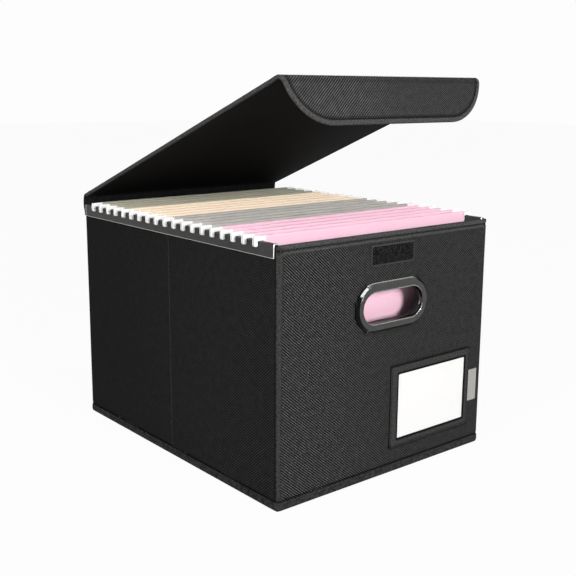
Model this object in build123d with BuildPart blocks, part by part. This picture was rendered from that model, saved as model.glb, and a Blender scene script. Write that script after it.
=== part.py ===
"""Portable file box for hanging folders: a fabric box on boards, with a lid that opens backwards.

Frame: millimetres, +Z up, +X to the right as seen from the front, the front wall faces -Y and the
origin is the middle of the underside.
"""
from build123d import *
import os
from math import cos, radians, sin, sqrt

os.makedirs("parts", exist_ok=True)

# ---------------------------------------------------------------- driving sizes of the box
box_width = 318.0           # over the outside of the side walls
box_depth = 396.0           # over the outside of the front and back walls
wall_height = 277.0         # floor to the top edge of the walls
cover_thickness = 1.0       # lined fabric on each face of a board
wall_board = 3.0            # board inside a wall
corner_radius = 3.0         # upright corners of the box
top_edge_bevel = 1.0        # fabric folded over the top edge of an end wall
side_edge_radius = 1.2      # the same on a side wall, inside the rail
board_margin = 4.0          # stitched margin from a cover's edge to its board
pocket_slip = 0.1           # room for a board in its pocket
fold_web = 4.0              # sewn strip between the two boards of a side wall
fold_groove_width = 1.6     # pressed crease in the middle of a side wall
fold_groove_depth = 0.4
base_sheet = 2.0            # fabric bottom
floor_board_thickness = 3.5
floor_board_gap = 1.0       # round the loose floor board
binding_height = 9.5        # tape round the lower edge
binding_proud = 1.2
binding_gap = 0.1
binding_lower_bevel = 0.8
binding_upper_bevel = 0.5

# ---------------------------------------------------------------- rails and hanging folders
rail_sheet = 0.8            # steel channel over each side wall
rail_flange = 14.0          # outside height of the channel
rail_bend = 1.4             # outside bend radius
rail_gap = 0.1              # between the channel and the wall
rail_end_gap = 1.0          # from the channel's end to the front and back walls
folder_pitch = 18.4
folder_end_room = 24.0      # least room from an end wall to the first folder's centre
folder_height = 238.0
folder_side_room = 2.1      # paper edge to the rail
folder_foot = 2.4           # width of the folded bottom
paper = 0.4
hem_height = 14.0           # glued hem that holds a bar
hem_gap = 0.1               # between the two hems of a closed folder
bar_thickness = 1.1
bar_slip = 0.15             # room for a bar in its hem
bar_height = 11.0           # strip inside the hem
arm_height = 4.4            # end of the bar that lies on the rail
tip_width = 4.3
tip_drop = 10.0             # from the top of the bar to the end of the hook
tip_lower_bevel = 1.5       # lower corner of a hook
tip_upper_bevel = 1.0
notch_gap = 0.3             # hook to rail, on both sides of the rail
seat_gap = 0.2              # underside of the arm to the top of the rail

# ---------------------------------------------------------------- grip rings, tapes and label
grip_drop = 80.3            # top edge of the wall to the middle of the grip
bezel_length = 110.0
bezel_height = 55.5
bezel_proud = 4.2
bezel_bevel = 3.2             # along the bezel's outer edge
bezel_hole_length = 91.0
bezel_hole_height = 34.0
bezel_hole_bevel = 0.9
barrel_wall = 2.4
barrel_reach = 3.0          # inside the box, past the wall
barrel_gap = 0.2            # barrel to the hole in the wall
snap_ring_width = 5.0
snap_ring_thickness = 3.0
snap_ring_gap = 0.15
tape_width = 66.0
tape_height = 22.5
tape_thickness = 1.2
tape_drop = 24.0            # top edge of the wall to the middle of the tape
tape_corner = 0.8
pocket_width = 133.5
pocket_height = 95.5
pocket_proud = 1.8
pocket_side_room = 24.0     # pocket to the right edge of the front wall
pocket_base = 29.0          # floor to the lower edge of the pocket
pocket_corner = 1.0
window_width = 111.0
window_height = 75.0
window_shift = 2.0          # window to the right of the pocket's middle
window_lift = 10.0          # lower edge of the pocket to the window
slot_seam = 5.0             # sewn margin at the sides and the bottom of the pocket
slot_depth = 0.8
card_thickness = 0.4
card_slip = 0.2
card_height = 84.5
tag_width = 15.5
tag_height = 39.0
tag_thickness = 0.8
tag_base = 28.0             # lower edge of the pocket to the tag

# ---------------------------------------------------------------- lid and flap
lid_board_thickness = 2.5
lid_open_angle = 21.4       # how far the lid stands open
lid_clearance = 3.1         # closed lid above the folders
hinge_setback = 2.0         # hinge line behind the back wall
hinge_tongue = 3.0          # fabric from the hinge line to the board's rear edge
hinge_tongue_thickness = 0.8
hinge_strip_thickness = 1.2
hinge_strip_overlap = 14.0  # sewn down on the back wall
hinge_strip_gap = 0.3       # below the hinge line
lid_taper = 12.5            # each side edge comes in by this much at the front
lid_rear_radius = 3.0
flap_board_thickness = 2.0
flap_height = 53.0
flap_corner = 60.0          # turned from a little above the crease
flap_lean = -5.4            # out from square; below zero it leans in to the wall
flap_gap = 13.0             # closed flap to the front wall at the crease
crease_gap = 1.3            # end of the lid panel to the flap
crease_radius = 3.4
flap_board_margin = 8.0

# ---------------------------------------------------------------- sizes that follow
wall = wall_board + 2 * cover_thickness
half_width = box_width / 2
half_depth = box_depth / 2
inner_width = box_width - 2 * wall
inner_depth = box_depth - 2 * wall

rail_top = wall_height + rail_gap + rail_sheet
rail_outer = half_width + rail_gap + rail_sheet
rail_inner = half_width - wall - rail_gap - rail_sheet
rail_length = inner_depth - 2 * rail_end_gap

bar_bottom = rail_top + seat_gap
bar_top = bar_bottom + arm_height
folder_top = bar_top + paper
folder_bottom = folder_top - folder_height
folder_half_width = rail_inner - folder_side_room
hem_wall_inner = hem_gap / 2 + paper
hem_cavity = bar_thickness + 2 * bar_slip
folder_half_thickness = hem_wall_inner + hem_cavity + paper
folder_count = int((inner_depth - 2 * folder_end_room) / folder_pitch) + 1
first_folder = -folder_pitch * (folder_count - 1) / 2

grip_height = wall_height - grip_drop
barrel_length = bezel_hole_length + 2 * barrel_wall
barrel_height = bezel_hole_height + 2 * barrel_wall
wall_hole_length = barrel_length + 2 * barrel_gap
wall_hole_height = barrel_height + 2 * barrel_gap
tape_centre = wall_height - tape_drop

lid_thickness = lid_board_thickness + 2 * cover_thickness
flap_thickness = flap_board_thickness + 2 * cover_thickness
hinge_y = half_depth + hinge_setback
hinge_z = folder_top + lid_clearance
lid_length = hinge_y + half_depth + flap_gap + flap_thickness

# Outside faces of the walls: each plane looks outwards, with its own Y axis upwards.
front_plane = Plane(origin=(0, -half_depth, 0), x_dir=(1, 0, 0), z_dir=(0, -1, 0))
back_plane = Plane(origin=(0, half_depth, 0), x_dir=(-1, 0, 0), z_dir=(0, 1, 0))
left_plane = Plane(origin=(-half_width, 0, 0), x_dir=(0, -1, 0), z_dir=(-1, 0, 0))
right_plane = Plane(origin=(half_width, 0, 0), x_dir=(0, 1, 0), z_dir=(1, 0, 0))

# The lid's plane is its underside: X along the hinge, Y from the front towards the hinge.
lid_rise = radians(lid_open_angle)
lid_plane = Plane(origin=(0, hinge_y, hinge_z), x_dir=(1, 0, 0), z_dir=(0, sin(lid_rise), cos(lid_rise)))

# The flap's plane is its outside face: X along the crease, Y upwards to the crease.
crease = lid_plane.from_local_coords(Vector(0, -lid_length, lid_thickness))
flap_turn = radians(lid_open_angle + flap_lean)
flap_plane = Plane(origin=crease, x_dir=(1, 0, 0), z_dir=(0, -cos(flap_turn), sin(flap_turn)))


def save(piece, name):
    """Name a finished piece and write its STEP file."""
    piece.part.label = name
    export_step(piece.part, f"parts/{name}.step")


# ---------------------------------------------------------------- front and back walls
# A fabric sleeve, open along the bottom where the board goes in, with a hole for the grip ring.
for name, plane, outer in (("front_cover", front_plane, 0), ("back_cover", back_plane, -1)):
    with BuildPart() as end_cover:
        with BuildSketch(plane):
            Rectangle(box_width, wall_height, align=(Align.CENTER, Align.MIN))
        extrude(amount=-wall)
        fillet(end_cover.edges().filter_by(Axis.Z).group_by(Axis.Y)[outer], corner_radius)
        chamfer(end_cover.faces().sort_by(Axis.Z)[-1].edges(), top_edge_bevel)
        with BuildSketch(plane.offset(-cover_thickness)):
            board_room = box_width - 2 * board_margin + 2 * pocket_slip
            Rectangle(board_room, wall_height - board_margin + pocket_slip, align=(Align.CENTER, Align.MIN))
        extrude(amount=-wall_board, mode=Mode.SUBTRACT)
        with BuildSketch(plane):
            with Locations((0, grip_height)):
                SlotOverall(wall_hole_length, wall_hole_height)
        extrude(amount=-wall, mode=Mode.SUBTRACT)
    save(end_cover, name)

with BuildPart() as end_boards:
    for plane in (front_plane, back_plane):
        with BuildSketch(plane.offset(-cover_thickness - pocket_slip)):
            with Locations((0, pocket_slip)):
                Rectangle(
                    box_width - 2 * board_margin,
                    wall_height - board_margin - pocket_slip,
                    align=(Align.CENTER, Align.MIN),
                )
            with Locations((0, grip_height)):
                SlotOverall(wall_hole_length, wall_hole_height, mode=Mode.SUBTRACT)
        extrude(amount=-(wall_board - 2 * pocket_slip))
save(end_boards, "end_boards")

# ---------------------------------------------------------------- side walls
# Each side wall is one sleeve with two boards, so that it can fold inwards at the middle.
side_board_length = (inner_depth - fold_web) / 2 - board_margin
side_board_centre = (fold_web + side_board_length) / 2

for name, plane in (("left_cover", left_plane), ("right_cover", right_plane)):
    with BuildPart() as side_cover:
        with BuildSketch(plane):
            Rectangle(inner_depth, wall_height, align=(Align.CENTER, Align.MIN))
        extrude(amount=-wall)
        fillet(side_cover.edges().filter_by(Axis.Y).group_by(Axis.Z)[-1], side_edge_radius)
        with BuildSketch(plane.offset(-cover_thickness)):
            with Locations((-side_board_centre, 0), (side_board_centre, 0)):
                Rectangle(
                    side_board_length + 2 * pocket_slip,
                    wall_height - board_margin + pocket_slip,
                    align=(Align.CENTER, Align.MIN),
                )
        extrude(amount=-wall_board, mode=Mode.SUBTRACT)
        with BuildSketch(plane, plane.offset(-wall + fold_groove_depth)):
            Rectangle(fold_groove_width, wall_height, align=(Align.CENTER, Align.MIN))
        extrude(amount=-fold_groove_depth, mode=Mode.SUBTRACT)
    save(side_cover, name)

with BuildPart() as side_boards:
    for plane in (left_plane, right_plane):
        with BuildSketch(plane.offset(-cover_thickness - pocket_slip)):
            with Locations((-side_board_centre, pocket_slip), (side_board_centre, pocket_slip)):
                Rectangle(
                    side_board_length,
                    wall_height - board_margin - pocket_slip,
                    align=(Align.CENTER, Align.MIN),
                )
        extrude(amount=-(wall_board - 2 * pocket_slip))
save(side_boards, "side_boards")

# ---------------------------------------------------------------- bottom
# A fabric bottom with the same fold as the side walls, a loose board on it and a bound lower edge.
with BuildPart() as base_cover:
    with BuildSketch():
        Rectangle(inner_width, inner_depth)
    extrude(amount=base_sheet)
    with BuildSketch(Plane.XY.offset(base_sheet)):
        Rectangle(inner_width, fold_groove_width)
    extrude(amount=-fold_groove_depth, mode=Mode.SUBTRACT)
save(base_cover, "base_cover")

with BuildPart() as floor_board:
    with BuildSketch(Plane.XY.offset(base_sheet)):
        RectangleRounded(inner_width - 2 * floor_board_gap, inner_depth - 2 * floor_board_gap, corner_radius)
    extrude(amount=floor_board_thickness)
save(floor_board, "floor_board")

with BuildPart() as base_binding:
    with BuildSketch():
        RectangleRounded(
            box_width + 2 * binding_proud,
            box_depth + 2 * binding_proud,
            corner_radius + binding_proud,
        )
    extrude(amount=binding_height)
    chamfer(base_binding.faces().sort_by(Axis.Z)[0].edges(), binding_lower_bevel)
    chamfer(base_binding.faces().sort_by(Axis.Z)[-1].edges(), binding_upper_bevel)
    with BuildSketch():
        RectangleRounded(
            box_width + 2 * binding_gap,
            box_depth + 2 * binding_gap,
            corner_radius + binding_gap,
        )
    extrude(amount=binding_height, mode=Mode.SUBTRACT)
save(base_binding, "base_binding")

# ---------------------------------------------------------------- hanging rails
# Two sheet-steel channels pressed over the top edges of the side walls.
rail_width = rail_outer - rail_inner
rail_middle = (rail_outer + rail_inner) / 2

with BuildPart() as hanging_rails:
    for side in (-1, 1):
        with BuildSketch(Plane.XZ) as rail_section:
            with Locations((side * rail_middle, rail_top)):
                Rectangle(rail_width, rail_flange, align=(Align.CENTER, Align.MAX))
            fillet(rail_section.vertices().group_by(Axis.Y)[-1], rail_bend)
            with Locations((side * rail_middle, rail_top - rail_sheet)):
                Rectangle(
                    rail_width - 2 * rail_sheet,
                    rail_flange,
                    align=(Align.CENTER, Align.MAX),
                    mode=Mode.SUBTRACT,
                )
            fillet(rail_section.vertices().group_by(Axis.Y)[-2], rail_bend - rail_sheet)
        extrude(amount=rail_length / 2, both=True)
save(hanging_rails, "hanging_rails")

# ---------------------------------------------------------------- hanging folders
# A folder is one sheet, folded at the bottom, with a glued hem along each top edge. A flat bar runs
# through each hem and ends in a hook at both rails.
strip_half_width = rail_inner - notch_gap
tip_inner = rail_outer + notch_gap
tip_outer = tip_inner + tip_width
bar_near = hem_wall_inner + bar_slip
tube_middle = hem_wall_inner + hem_cavity / 2

for number in range(folder_count):
    folder_y = first_folder + number * folder_pitch
    section_plane = Plane(origin=(0, folder_y, 0), x_dir=(0, 1, 0), z_dir=(1, 0, 0))
    with BuildPart() as folder:
        with BuildSketch(section_plane):
            with BuildLine():
                Polyline(
                    (folder_half_thickness, folder_top),
                    (folder_half_thickness, folder_top - hem_height),
                    (folder_foot / 2, folder_bottom),
                    (-folder_foot / 2, folder_bottom),
                    (-folder_half_thickness, folder_top - hem_height),
                    (-folder_half_thickness, folder_top),
                    close=True,
                )
            make_face()
            with BuildLine():
                Polyline(
                    (folder_half_thickness - paper, folder_top - hem_height),
                    (folder_foot / 2 - paper, folder_bottom + paper),
                    (paper - folder_foot / 2, folder_bottom + paper),
                    (paper - folder_half_thickness, folder_top - hem_height),
                    close=True,
                )
            make_face(mode=Mode.SUBTRACT)
            with Locations((-tube_middle, bar_top), (tube_middle, bar_top)):
                Rectangle(
                    hem_cavity,
                    hem_height - 2 * paper,
                    align=(Align.CENTER, Align.MAX),
                    mode=Mode.SUBTRACT,
                )
            with Locations((0, folder_top)):
                Rectangle(hem_gap, hem_height, align=(Align.CENTER, Align.MAX), mode=Mode.SUBTRACT)
        extrude(amount=folder_half_width, both=True)
    save(folder, f"folder_{number + 1:02d}")

    with BuildPart() as hanger:
        for near_side in (folder_y - bar_near - bar_thickness, folder_y + bar_near):
            with BuildSketch(Plane.XZ.offset(-near_side)) as bar_outline:
                with Locations((0, bar_top)):
                    Rectangle(2 * strip_half_width, bar_height, align=(Align.CENTER, Align.MAX))
                    Rectangle(2 * tip_outer, arm_height, align=(Align.CENTER, Align.MAX))
                with Locations((-tip_outer, bar_top)):
                    Rectangle(tip_width, tip_drop, align=(Align.MIN, Align.MAX))
                with Locations((tip_outer, bar_top)):
                    Rectangle(tip_width, tip_drop, align=(Align.MAX, Align.MAX))
                columns = bar_outline.vertices().group_by(Axis.X)
                tip_corners = columns[0] + columns[-1]
                chamfer(tip_corners.group_by(Axis.Y)[-1], tip_upper_bevel)
                chamfer(tip_corners.group_by(Axis.Y)[0], tip_lower_bevel)
            extrude(amount=-bar_thickness)
    save(hanger, f"hanger_{number + 1:02d}")

# ---------------------------------------------------------------- grip rings
# A moulded bezel with a barrel through the wall, held on the inside by a ring snapped on the barrel.
for name, plane, outer in (("front_handle", front_plane, 0), ("rear_handle", back_plane, -1)):
    with BuildPart() as grip:
        with BuildSketch(plane):
            with Locations((0, grip_height)):
                SlotOverall(bezel_length, bezel_height)
        extrude(amount=bezel_proud)
        with BuildSketch(plane):
            with Locations((0, grip_height)):
                SlotOverall(barrel_length, barrel_height)
        extrude(amount=-(wall + barrel_reach))
        with BuildSketch(plane.offset(bezel_proud)):
            with Locations((0, grip_height)):
                SlotOverall(bezel_hole_length, bezel_hole_height)
        extrude(amount=-(bezel_proud + wall + barrel_reach), mode=Mode.SUBTRACT)
        bezel_face = grip.faces().sort_by(Axis.Y)[outer]
        chamfer(bezel_face.outer_wire().edges(), bezel_bevel)
        bezel_face = grip.faces().sort_by(Axis.Y)[outer]
        chamfer(bezel_face.inner_wires()[0].edges(), bezel_hole_bevel)
        with BuildSketch(plane.offset(-wall)):
            with Locations((0, grip_height)):
                SlotOverall(barrel_length + 2 * snap_ring_width, barrel_height + 2 * snap_ring_width)
                SlotOverall(
                    barrel_length + 2 * snap_ring_gap,
                    barrel_height + 2 * snap_ring_gap,
                    mode=Mode.SUBTRACT,
                )
        extrude(amount=-snap_ring_thickness)
    save(grip, name)

# ---------------------------------------------------------------- loop tape on the front wall
with BuildPart() as front_loop_tape:
    with BuildSketch(front_plane):
        with Locations((0, tape_centre)):
            RectangleRounded(tape_width, tape_height, tape_corner)
    extrude(amount=tape_thickness)
save(front_loop_tape, "front_loop_tape")

# ---------------------------------------------------------------- label pocket, card and tag
# A fabric frame sewn down on three sides. The card slides in from above and shows in the window.
pocket_centre = half_width - pocket_side_room - pocket_width / 2
slot_width = pocket_width - 2 * slot_seam
card_width = slot_width - 2 * card_slip
card_base = pocket_base + slot_seam + card_slip

with BuildPart() as label_pocket:
    with BuildSketch(front_plane):
        with Locations((pocket_centre, pocket_base + pocket_height / 2)):
            RectangleRounded(pocket_width, pocket_height, pocket_corner)
    extrude(amount=pocket_proud)
    with BuildSketch(front_plane):
        with Locations((pocket_centre, pocket_base + slot_seam)):
            Rectangle(slot_width, pocket_height, align=(Align.CENTER, Align.MIN))
    extrude(amount=slot_depth, mode=Mode.SUBTRACT)
    with BuildSketch(front_plane):
        with Locations((pocket_centre + window_shift, pocket_base + window_lift)):
            Rectangle(window_width, window_height, align=(Align.CENTER, Align.MIN))
    extrude(amount=pocket_proud, mode=Mode.SUBTRACT)
save(label_pocket, "label_pocket")

with BuildPart() as label_card:
    with BuildSketch(front_plane.offset((slot_depth - card_thickness) / 2)):
        with Locations((pocket_centre, card_base)):
            Rectangle(card_width, card_height, align=(Align.CENTER, Align.MIN))
    extrude(amount=card_thickness)
save(label_card, "label_card")

with BuildPart() as side_tag:
    with BuildSketch(front_plane):
        with Locations((pocket_centre + pocket_width / 2, pocket_base + tag_base)):
            Rectangle(tag_width, tag_height, align=(Align.MIN, Align.MIN))
    extrude(amount=tag_thickness)
    fillet(side_tag.edges().filter_by(Axis.Z).group_by(Axis.X)[-1], tag_thickness / 2.5)
save(side_tag, "side_tag")

# ---------------------------------------------------------------- lid
# A sleeve on a board. Its lining runs on as a thin tongue to the hinge line.
panel_front = lid_length - flap_thickness - crease_gap
front_half_width = half_width - lid_taper * panel_front / lid_length
rear_half_width = half_width - lid_taper * hinge_tongue / lid_length

with BuildPart() as lid_cover:
    with BuildSketch(lid_plane):
        with BuildLine():
            Polyline(
                (-rear_half_width, -hinge_tongue),
                (rear_half_width, -hinge_tongue),
                (front_half_width, -panel_front),
                (-front_half_width, -panel_front),
                close=True,
            )
        make_face()
    extrude(amount=lid_thickness)
    lid_top = lid_cover.faces().sort_by(Axis(lid_plane.origin, lid_plane.z_dir))[-1]
    fillet(lid_top.edges().filter_by(Axis.X).sort_by(Axis.Y)[-1], lid_rear_radius)
    with BuildSketch(lid_plane):
        with Locations((0, 0)):
            Rectangle(2 * rear_half_width, hinge_tongue, align=(Align.CENTER, Align.MAX))
    extrude(amount=hinge_tongue_thickness)
    with BuildSketch(lid_plane.offset(cover_thickness)):
        with BuildLine():
            Polyline(
                (board_margin - rear_half_width - pocket_slip, -hinge_tongue - board_margin + pocket_slip),
                (rear_half_width - board_margin + pocket_slip, -hinge_tongue - board_margin + pocket_slip),
                (front_half_width - board_margin + pocket_slip, -panel_front),
                (board_margin - front_half_width - pocket_slip, -panel_front),
                close=True,
            )
        make_face()
    extrude(amount=lid_board_thickness, mode=Mode.SUBTRACT)
save(lid_cover, "lid_cover")

with BuildPart() as lid_board:
    with BuildSketch(lid_plane.offset(cover_thickness + pocket_slip)):
        with BuildLine():
            Polyline(
                (board_margin - rear_half_width, -hinge_tongue - board_margin),
                (rear_half_width - board_margin, -hinge_tongue - board_margin),
                (front_half_width - board_margin, pocket_slip - panel_front),
                (board_margin - front_half_width, pocket_slip - panel_front),
                close=True,
            )
        make_face()
    extrude(amount=lid_board_thickness - 2 * pocket_slip)
save(lid_board, "lid_board")

with BuildPart() as lid_hinge_strip:
    with BuildSketch(back_plane):
        with Locations((0, hinge_z - hinge_strip_gap)):
            Rectangle(
                2 * rear_half_width,
                hinge_z - hinge_strip_gap - wall_height + hinge_strip_overlap,
                align=(Align.CENTER, Align.MAX),
            )
    extrude(amount=hinge_strip_thickness)
save(lid_hinge_strip, "lid_hinge_strip")

# ---------------------------------------------------------------- flap
# The lid's front edge, folded down in front of the wall, with large round corners.
flap_half_width = half_width - lid_taper
corner_over = max(flap_corner - flap_height, 0)
corner_rise = corner_over + 1
corner_bulge = flap_corner - sqrt(flap_corner**2 - corner_over**2)
flap_board_width = 2 * (flap_half_width - flap_board_margin)
flap_board_height = flap_height - 2 * flap_board_margin
flap_board_corner = flap_board_height - 2 * pocket_slip

with BuildPart() as flap_cover:
    with BuildSketch(flap_plane) as flap_outline:
        with Locations((0, corner_rise)):
            Rectangle(
                2 * (flap_half_width + corner_bulge),
                flap_height + corner_rise,
                align=(Align.CENTER, Align.MAX),
            )
        fillet(flap_outline.vertices().group_by(Axis.Y)[0], flap_corner)
        Rectangle(3 * flap_half_width, flap_height, align=(Align.CENTER, Align.MAX), mode=Mode.INTERSECT)
    extrude(amount=-flap_thickness)
    fillet(flap_cover.edges().filter_by(Axis.X).sort_by(Axis.Z)[-1], crease_radius)
    with BuildSketch(flap_plane.offset(-cover_thickness)) as flap_pocket:
        with Locations((0, -flap_board_margin)):
            Rectangle(
                flap_board_width + 2 * pocket_slip,
                flap_board_height + pocket_slip,
                align=(Align.CENTER, Align.MAX),
            )
        fillet(flap_pocket.vertices().group_by(Axis.Y)[0], flap_board_corner)
    extrude(amount=-flap_board_thickness, mode=Mode.SUBTRACT)
save(flap_cover, "flap_cover")

with BuildPart() as flap_board:
    with BuildSketch(flap_plane.offset(-cover_thickness - pocket_slip)) as board_outline:
        with Locations((0, -flap_board_margin - pocket_slip)):
            Rectangle(
                flap_board_width,
                flap_board_height - pocket_slip,
                align=(Align.CENTER, Align.MAX),
            )
        fillet(board_outline.vertices().group_by(Axis.Y)[0], flap_board_corner)
    extrude(amount=-(flap_board_thickness - 2 * pocket_slip))
save(flap_board, "flap_board")

# The hook tape meets the loop tape on the front wall when the lid is closed.
hook_tape_drop = hinge_z + lid_thickness - tape_centre

with BuildPart() as flap_hook_tape:
    with BuildSketch(flap_plane.offset(-flap_thickness)):
        with Locations((0, -hook_tape_drop)):
            RectangleRounded(tape_width, tape_height, tape_corner)
    extrude(amount=-tape_thickness)
save(flap_hook_tape, "flap_hook_tape")
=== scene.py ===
"""Portable file box with a hinged lid and hanging folders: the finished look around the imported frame."""
import math
import random

import bpy
import numpy as np
from mathutils import Matrix, Vector, geometry, noise


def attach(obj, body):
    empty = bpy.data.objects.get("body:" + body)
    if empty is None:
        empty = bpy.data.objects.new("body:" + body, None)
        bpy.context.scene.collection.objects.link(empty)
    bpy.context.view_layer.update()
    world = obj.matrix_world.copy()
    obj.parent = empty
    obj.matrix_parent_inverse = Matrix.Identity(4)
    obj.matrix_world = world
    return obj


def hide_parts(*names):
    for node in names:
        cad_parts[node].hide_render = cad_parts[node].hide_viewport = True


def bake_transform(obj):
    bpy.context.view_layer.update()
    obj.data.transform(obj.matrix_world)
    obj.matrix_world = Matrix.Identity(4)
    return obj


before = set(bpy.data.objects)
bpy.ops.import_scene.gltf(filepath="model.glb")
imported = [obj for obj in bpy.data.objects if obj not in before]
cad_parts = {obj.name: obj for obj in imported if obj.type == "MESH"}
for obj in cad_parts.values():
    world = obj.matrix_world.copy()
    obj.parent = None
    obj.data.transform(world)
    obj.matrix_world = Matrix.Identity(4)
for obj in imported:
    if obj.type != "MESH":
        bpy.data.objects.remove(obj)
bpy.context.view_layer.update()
scene = bpy.context.scene
scene.view_settings.view_transform = "Standard"

# ---------------------------------------------------------------- studio
# The box stands on a pale floor under a white sky. A broad lamp stands in front of it, weak ones stand
# to the left and hang above, and a long strip in front only draws its reflection on polished edges.


def add_node(tree, kind, inputs=None, **settings):
    """One node of a tree, with its settings, and its inputs given as values or as outputs of other nodes."""
    node = tree.nodes.new(kind)
    for name, value in settings.items():
        setattr(node, name, value)
    for key, value in (inputs or {}).items():
        if isinstance(value, bpy.types.NodeSocket):
            tree.links.new(value, node.inputs[key])
        else:
            node.inputs[key].default_value = value
    return node


def maths(tree, operation, *terms):
    """The result of one sum on values or on outputs of other nodes."""
    return add_node(tree, "ShaderNodeMath", dict(enumerate(terms)), operation=operation).outputs[0]


def seen_ray(tree):
    """1 for a ray that shows its target to the camera: straight on, in a reflection or through a clear piece."""
    path = add_node(tree, "ShaderNodeLightPath").outputs
    direct = maths(tree, "MAXIMUM", path["Is Camera Ray"], path["Is Glossy Ray"])
    return maths(tree, "MAXIMUM", direct, path["Is Transmission Ray"])


def in_scene(name, data):
    """A new object of the scene that shows a mesh, a lamp or a camera."""
    made = bpy.data.objects.new(name, data)
    scene.collection.objects.link(made)
    return made


camera_place = Vector((-0.7142, -0.8818, 0.4280))
camera_yaw, camera_pitch, camera_roll = 0.6928, 0.2146, 0.0072
camera_data = bpy.data.cameras.new("camera")
camera_data.sensor_width, camera_data.lens = 36.0, 57.97
camera = in_scene("camera", camera_data)
forward = Vector((
    math.sin(camera_yaw) * math.cos(camera_pitch),
    math.cos(camera_yaw) * math.cos(camera_pitch),
    -math.sin(camera_pitch),
))
level = Vector((math.cos(camera_yaw), -math.sin(camera_yaw), 0.0))
upright = level.cross(forward)
right = math.cos(camera_roll) * level + math.sin(camera_roll) * upright
up = -math.sin(camera_roll) * level + math.cos(camera_roll) * upright
camera.matrix_world = Matrix.Translation(camera_place) @ Matrix((right, up, -forward)).transposed().to_4x4()
scene.camera = camera


def add_lamp(name, place, target, long_way, length, width, power):
    """A soft lamp that looks at a point of the box, with its long side as near to long_way as it can lie."""
    data = bpy.data.lights.new(name, "AREA")
    data.shape = "RECTANGLE"
    data.size, data.size_y = length, width
    data.energy = power
    back = (Vector(place) - Vector(target)).normalized()
    side = back.cross(Vector(long_way).cross(back)).normalized()
    lamp = in_scene(name, data)
    lamp.matrix_world = Matrix.Translation(place) @ Matrix((side, back.cross(side), back)).transposed().to_4x4()
    return lamp


add_lamp("front_lamp", (-0.35, -2.6, 0.95), (0.0, -0.1, 0.2), (1, 0, 0), 0.70, 0.70, 63.0)
add_lamp("left_lamp", (-2.5, -0.35, 0.95), (0.0, 0.0, 0.28), (0, 1, 0), 0.70, 0.70, 31.0)
add_lamp("top_lamp", (-0.1, -0.7, 2.6), (0.0, 0.0, 0.3), (1, 0, 0), 1.4, 1.4, 12.0)
strip_lamp = add_lamp(
    "strip_lamp", (-0.41, -1.55, 1.90), (-0.05, -0.2, 0.2), (0.876, 0.267, 0.40), 1.60, 0.20, 130.0,
)
strip_lamp.visible_diffuse = False

sky = bpy.data.worlds.new("sky")
sky.use_nodes = True
lights_the_box, shows_white = 0.18, 0.98
sky_strength = add_node(
    sky.node_tree, "ShaderNodeMix", {"Factor": seen_ray(sky.node_tree), 2: lights_the_box, 3: shows_white},
    data_type="FLOAT",
)
sky_light = sky.node_tree.nodes["Background"]
sky_light.inputs["Color"].default_value = (1.0, 1.0, 1.0, 1.0)
sky.node_tree.links.new(sky_strength.outputs[0], sky_light.inputs["Strength"])
scene.world = sky

floor_mesh = bpy.data.meshes.new("floor")
floor_mesh.from_pydata([(-9, -9, 0), (9, -9, 0), (9, 9, 0), (-9, 9, 0)], [], [(0, 1, 2, 3)])
floor = in_scene("floor", floor_mesh)
floor_paint = bpy.data.materials.new("pale_floor")
floor_paint.use_nodes = True
floor_tree = floor_paint.node_tree
floor_tree.nodes.remove(floor_tree.nodes["Principled BSDF"])
floor_white = add_node(floor_tree, "ShaderNodeEmission", {"Color": (1, 1, 1, 1), "Strength": 0.955})
floor_shade = add_node(floor_tree, "ShaderNodeBsdfDiffuse", {"Color": (0.030, 0.030, 0.030, 1)})
floor_seen = add_node(floor_tree, "ShaderNodeAddShader", {0: floor_white.outputs[0], 1: floor_shade.outputs[0]})
floor_body = add_node(floor_tree, "ShaderNodeBsdfDiffuse", {"Color": (0.75, 0.75, 0.75, 1)})
floor_mix = add_node(
    floor_tree, "ShaderNodeMixShader",
    {0: seen_ray(floor_tree), 1: floor_body.outputs[0], 2: floor_seen.outputs[0]},
)
floor_tree.links.new(floor_mix.outputs[0], floor_tree.nodes["Material Output"].inputs["Surface"])
floor_mesh.materials.append(floor_paint)

# ---------------------------------------------------------------- walls
# Each wall is a sleeve of black nonwoven cloth, pressed with fine diagonal ribs, over a board. Its top
# edge is hemmed and its upright edges are rolled over the corner and sewn down.
box_width, box_depth, wall_height, wall_thick = 0.318, 0.396, 0.277, 0.005
inner_depth = box_depth - 2 * wall_thick
half_width, half_depth = box_width / 2, box_depth / 2
foot_gap = 0.0002
grip_height = 0.1967
bezel_reach, bezel_radius = 0.02725, 0.02775
wall_hole_reach, wall_hole_radius = 0.0285, 0.0196
binding_top = 0.0095
pocket_left, pocket_right, pocket_low, pocket_high = 0.0015, 0.1350, 0.0290, 0.1245
pocket_box = (pocket_left, pocket_right, pocket_low, pocket_high)
tape_half, tape_low, tape_high = 0.033, 0.24175, 0.26425
tape_box = (-tape_half, tape_half, tape_low, tape_high)


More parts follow.
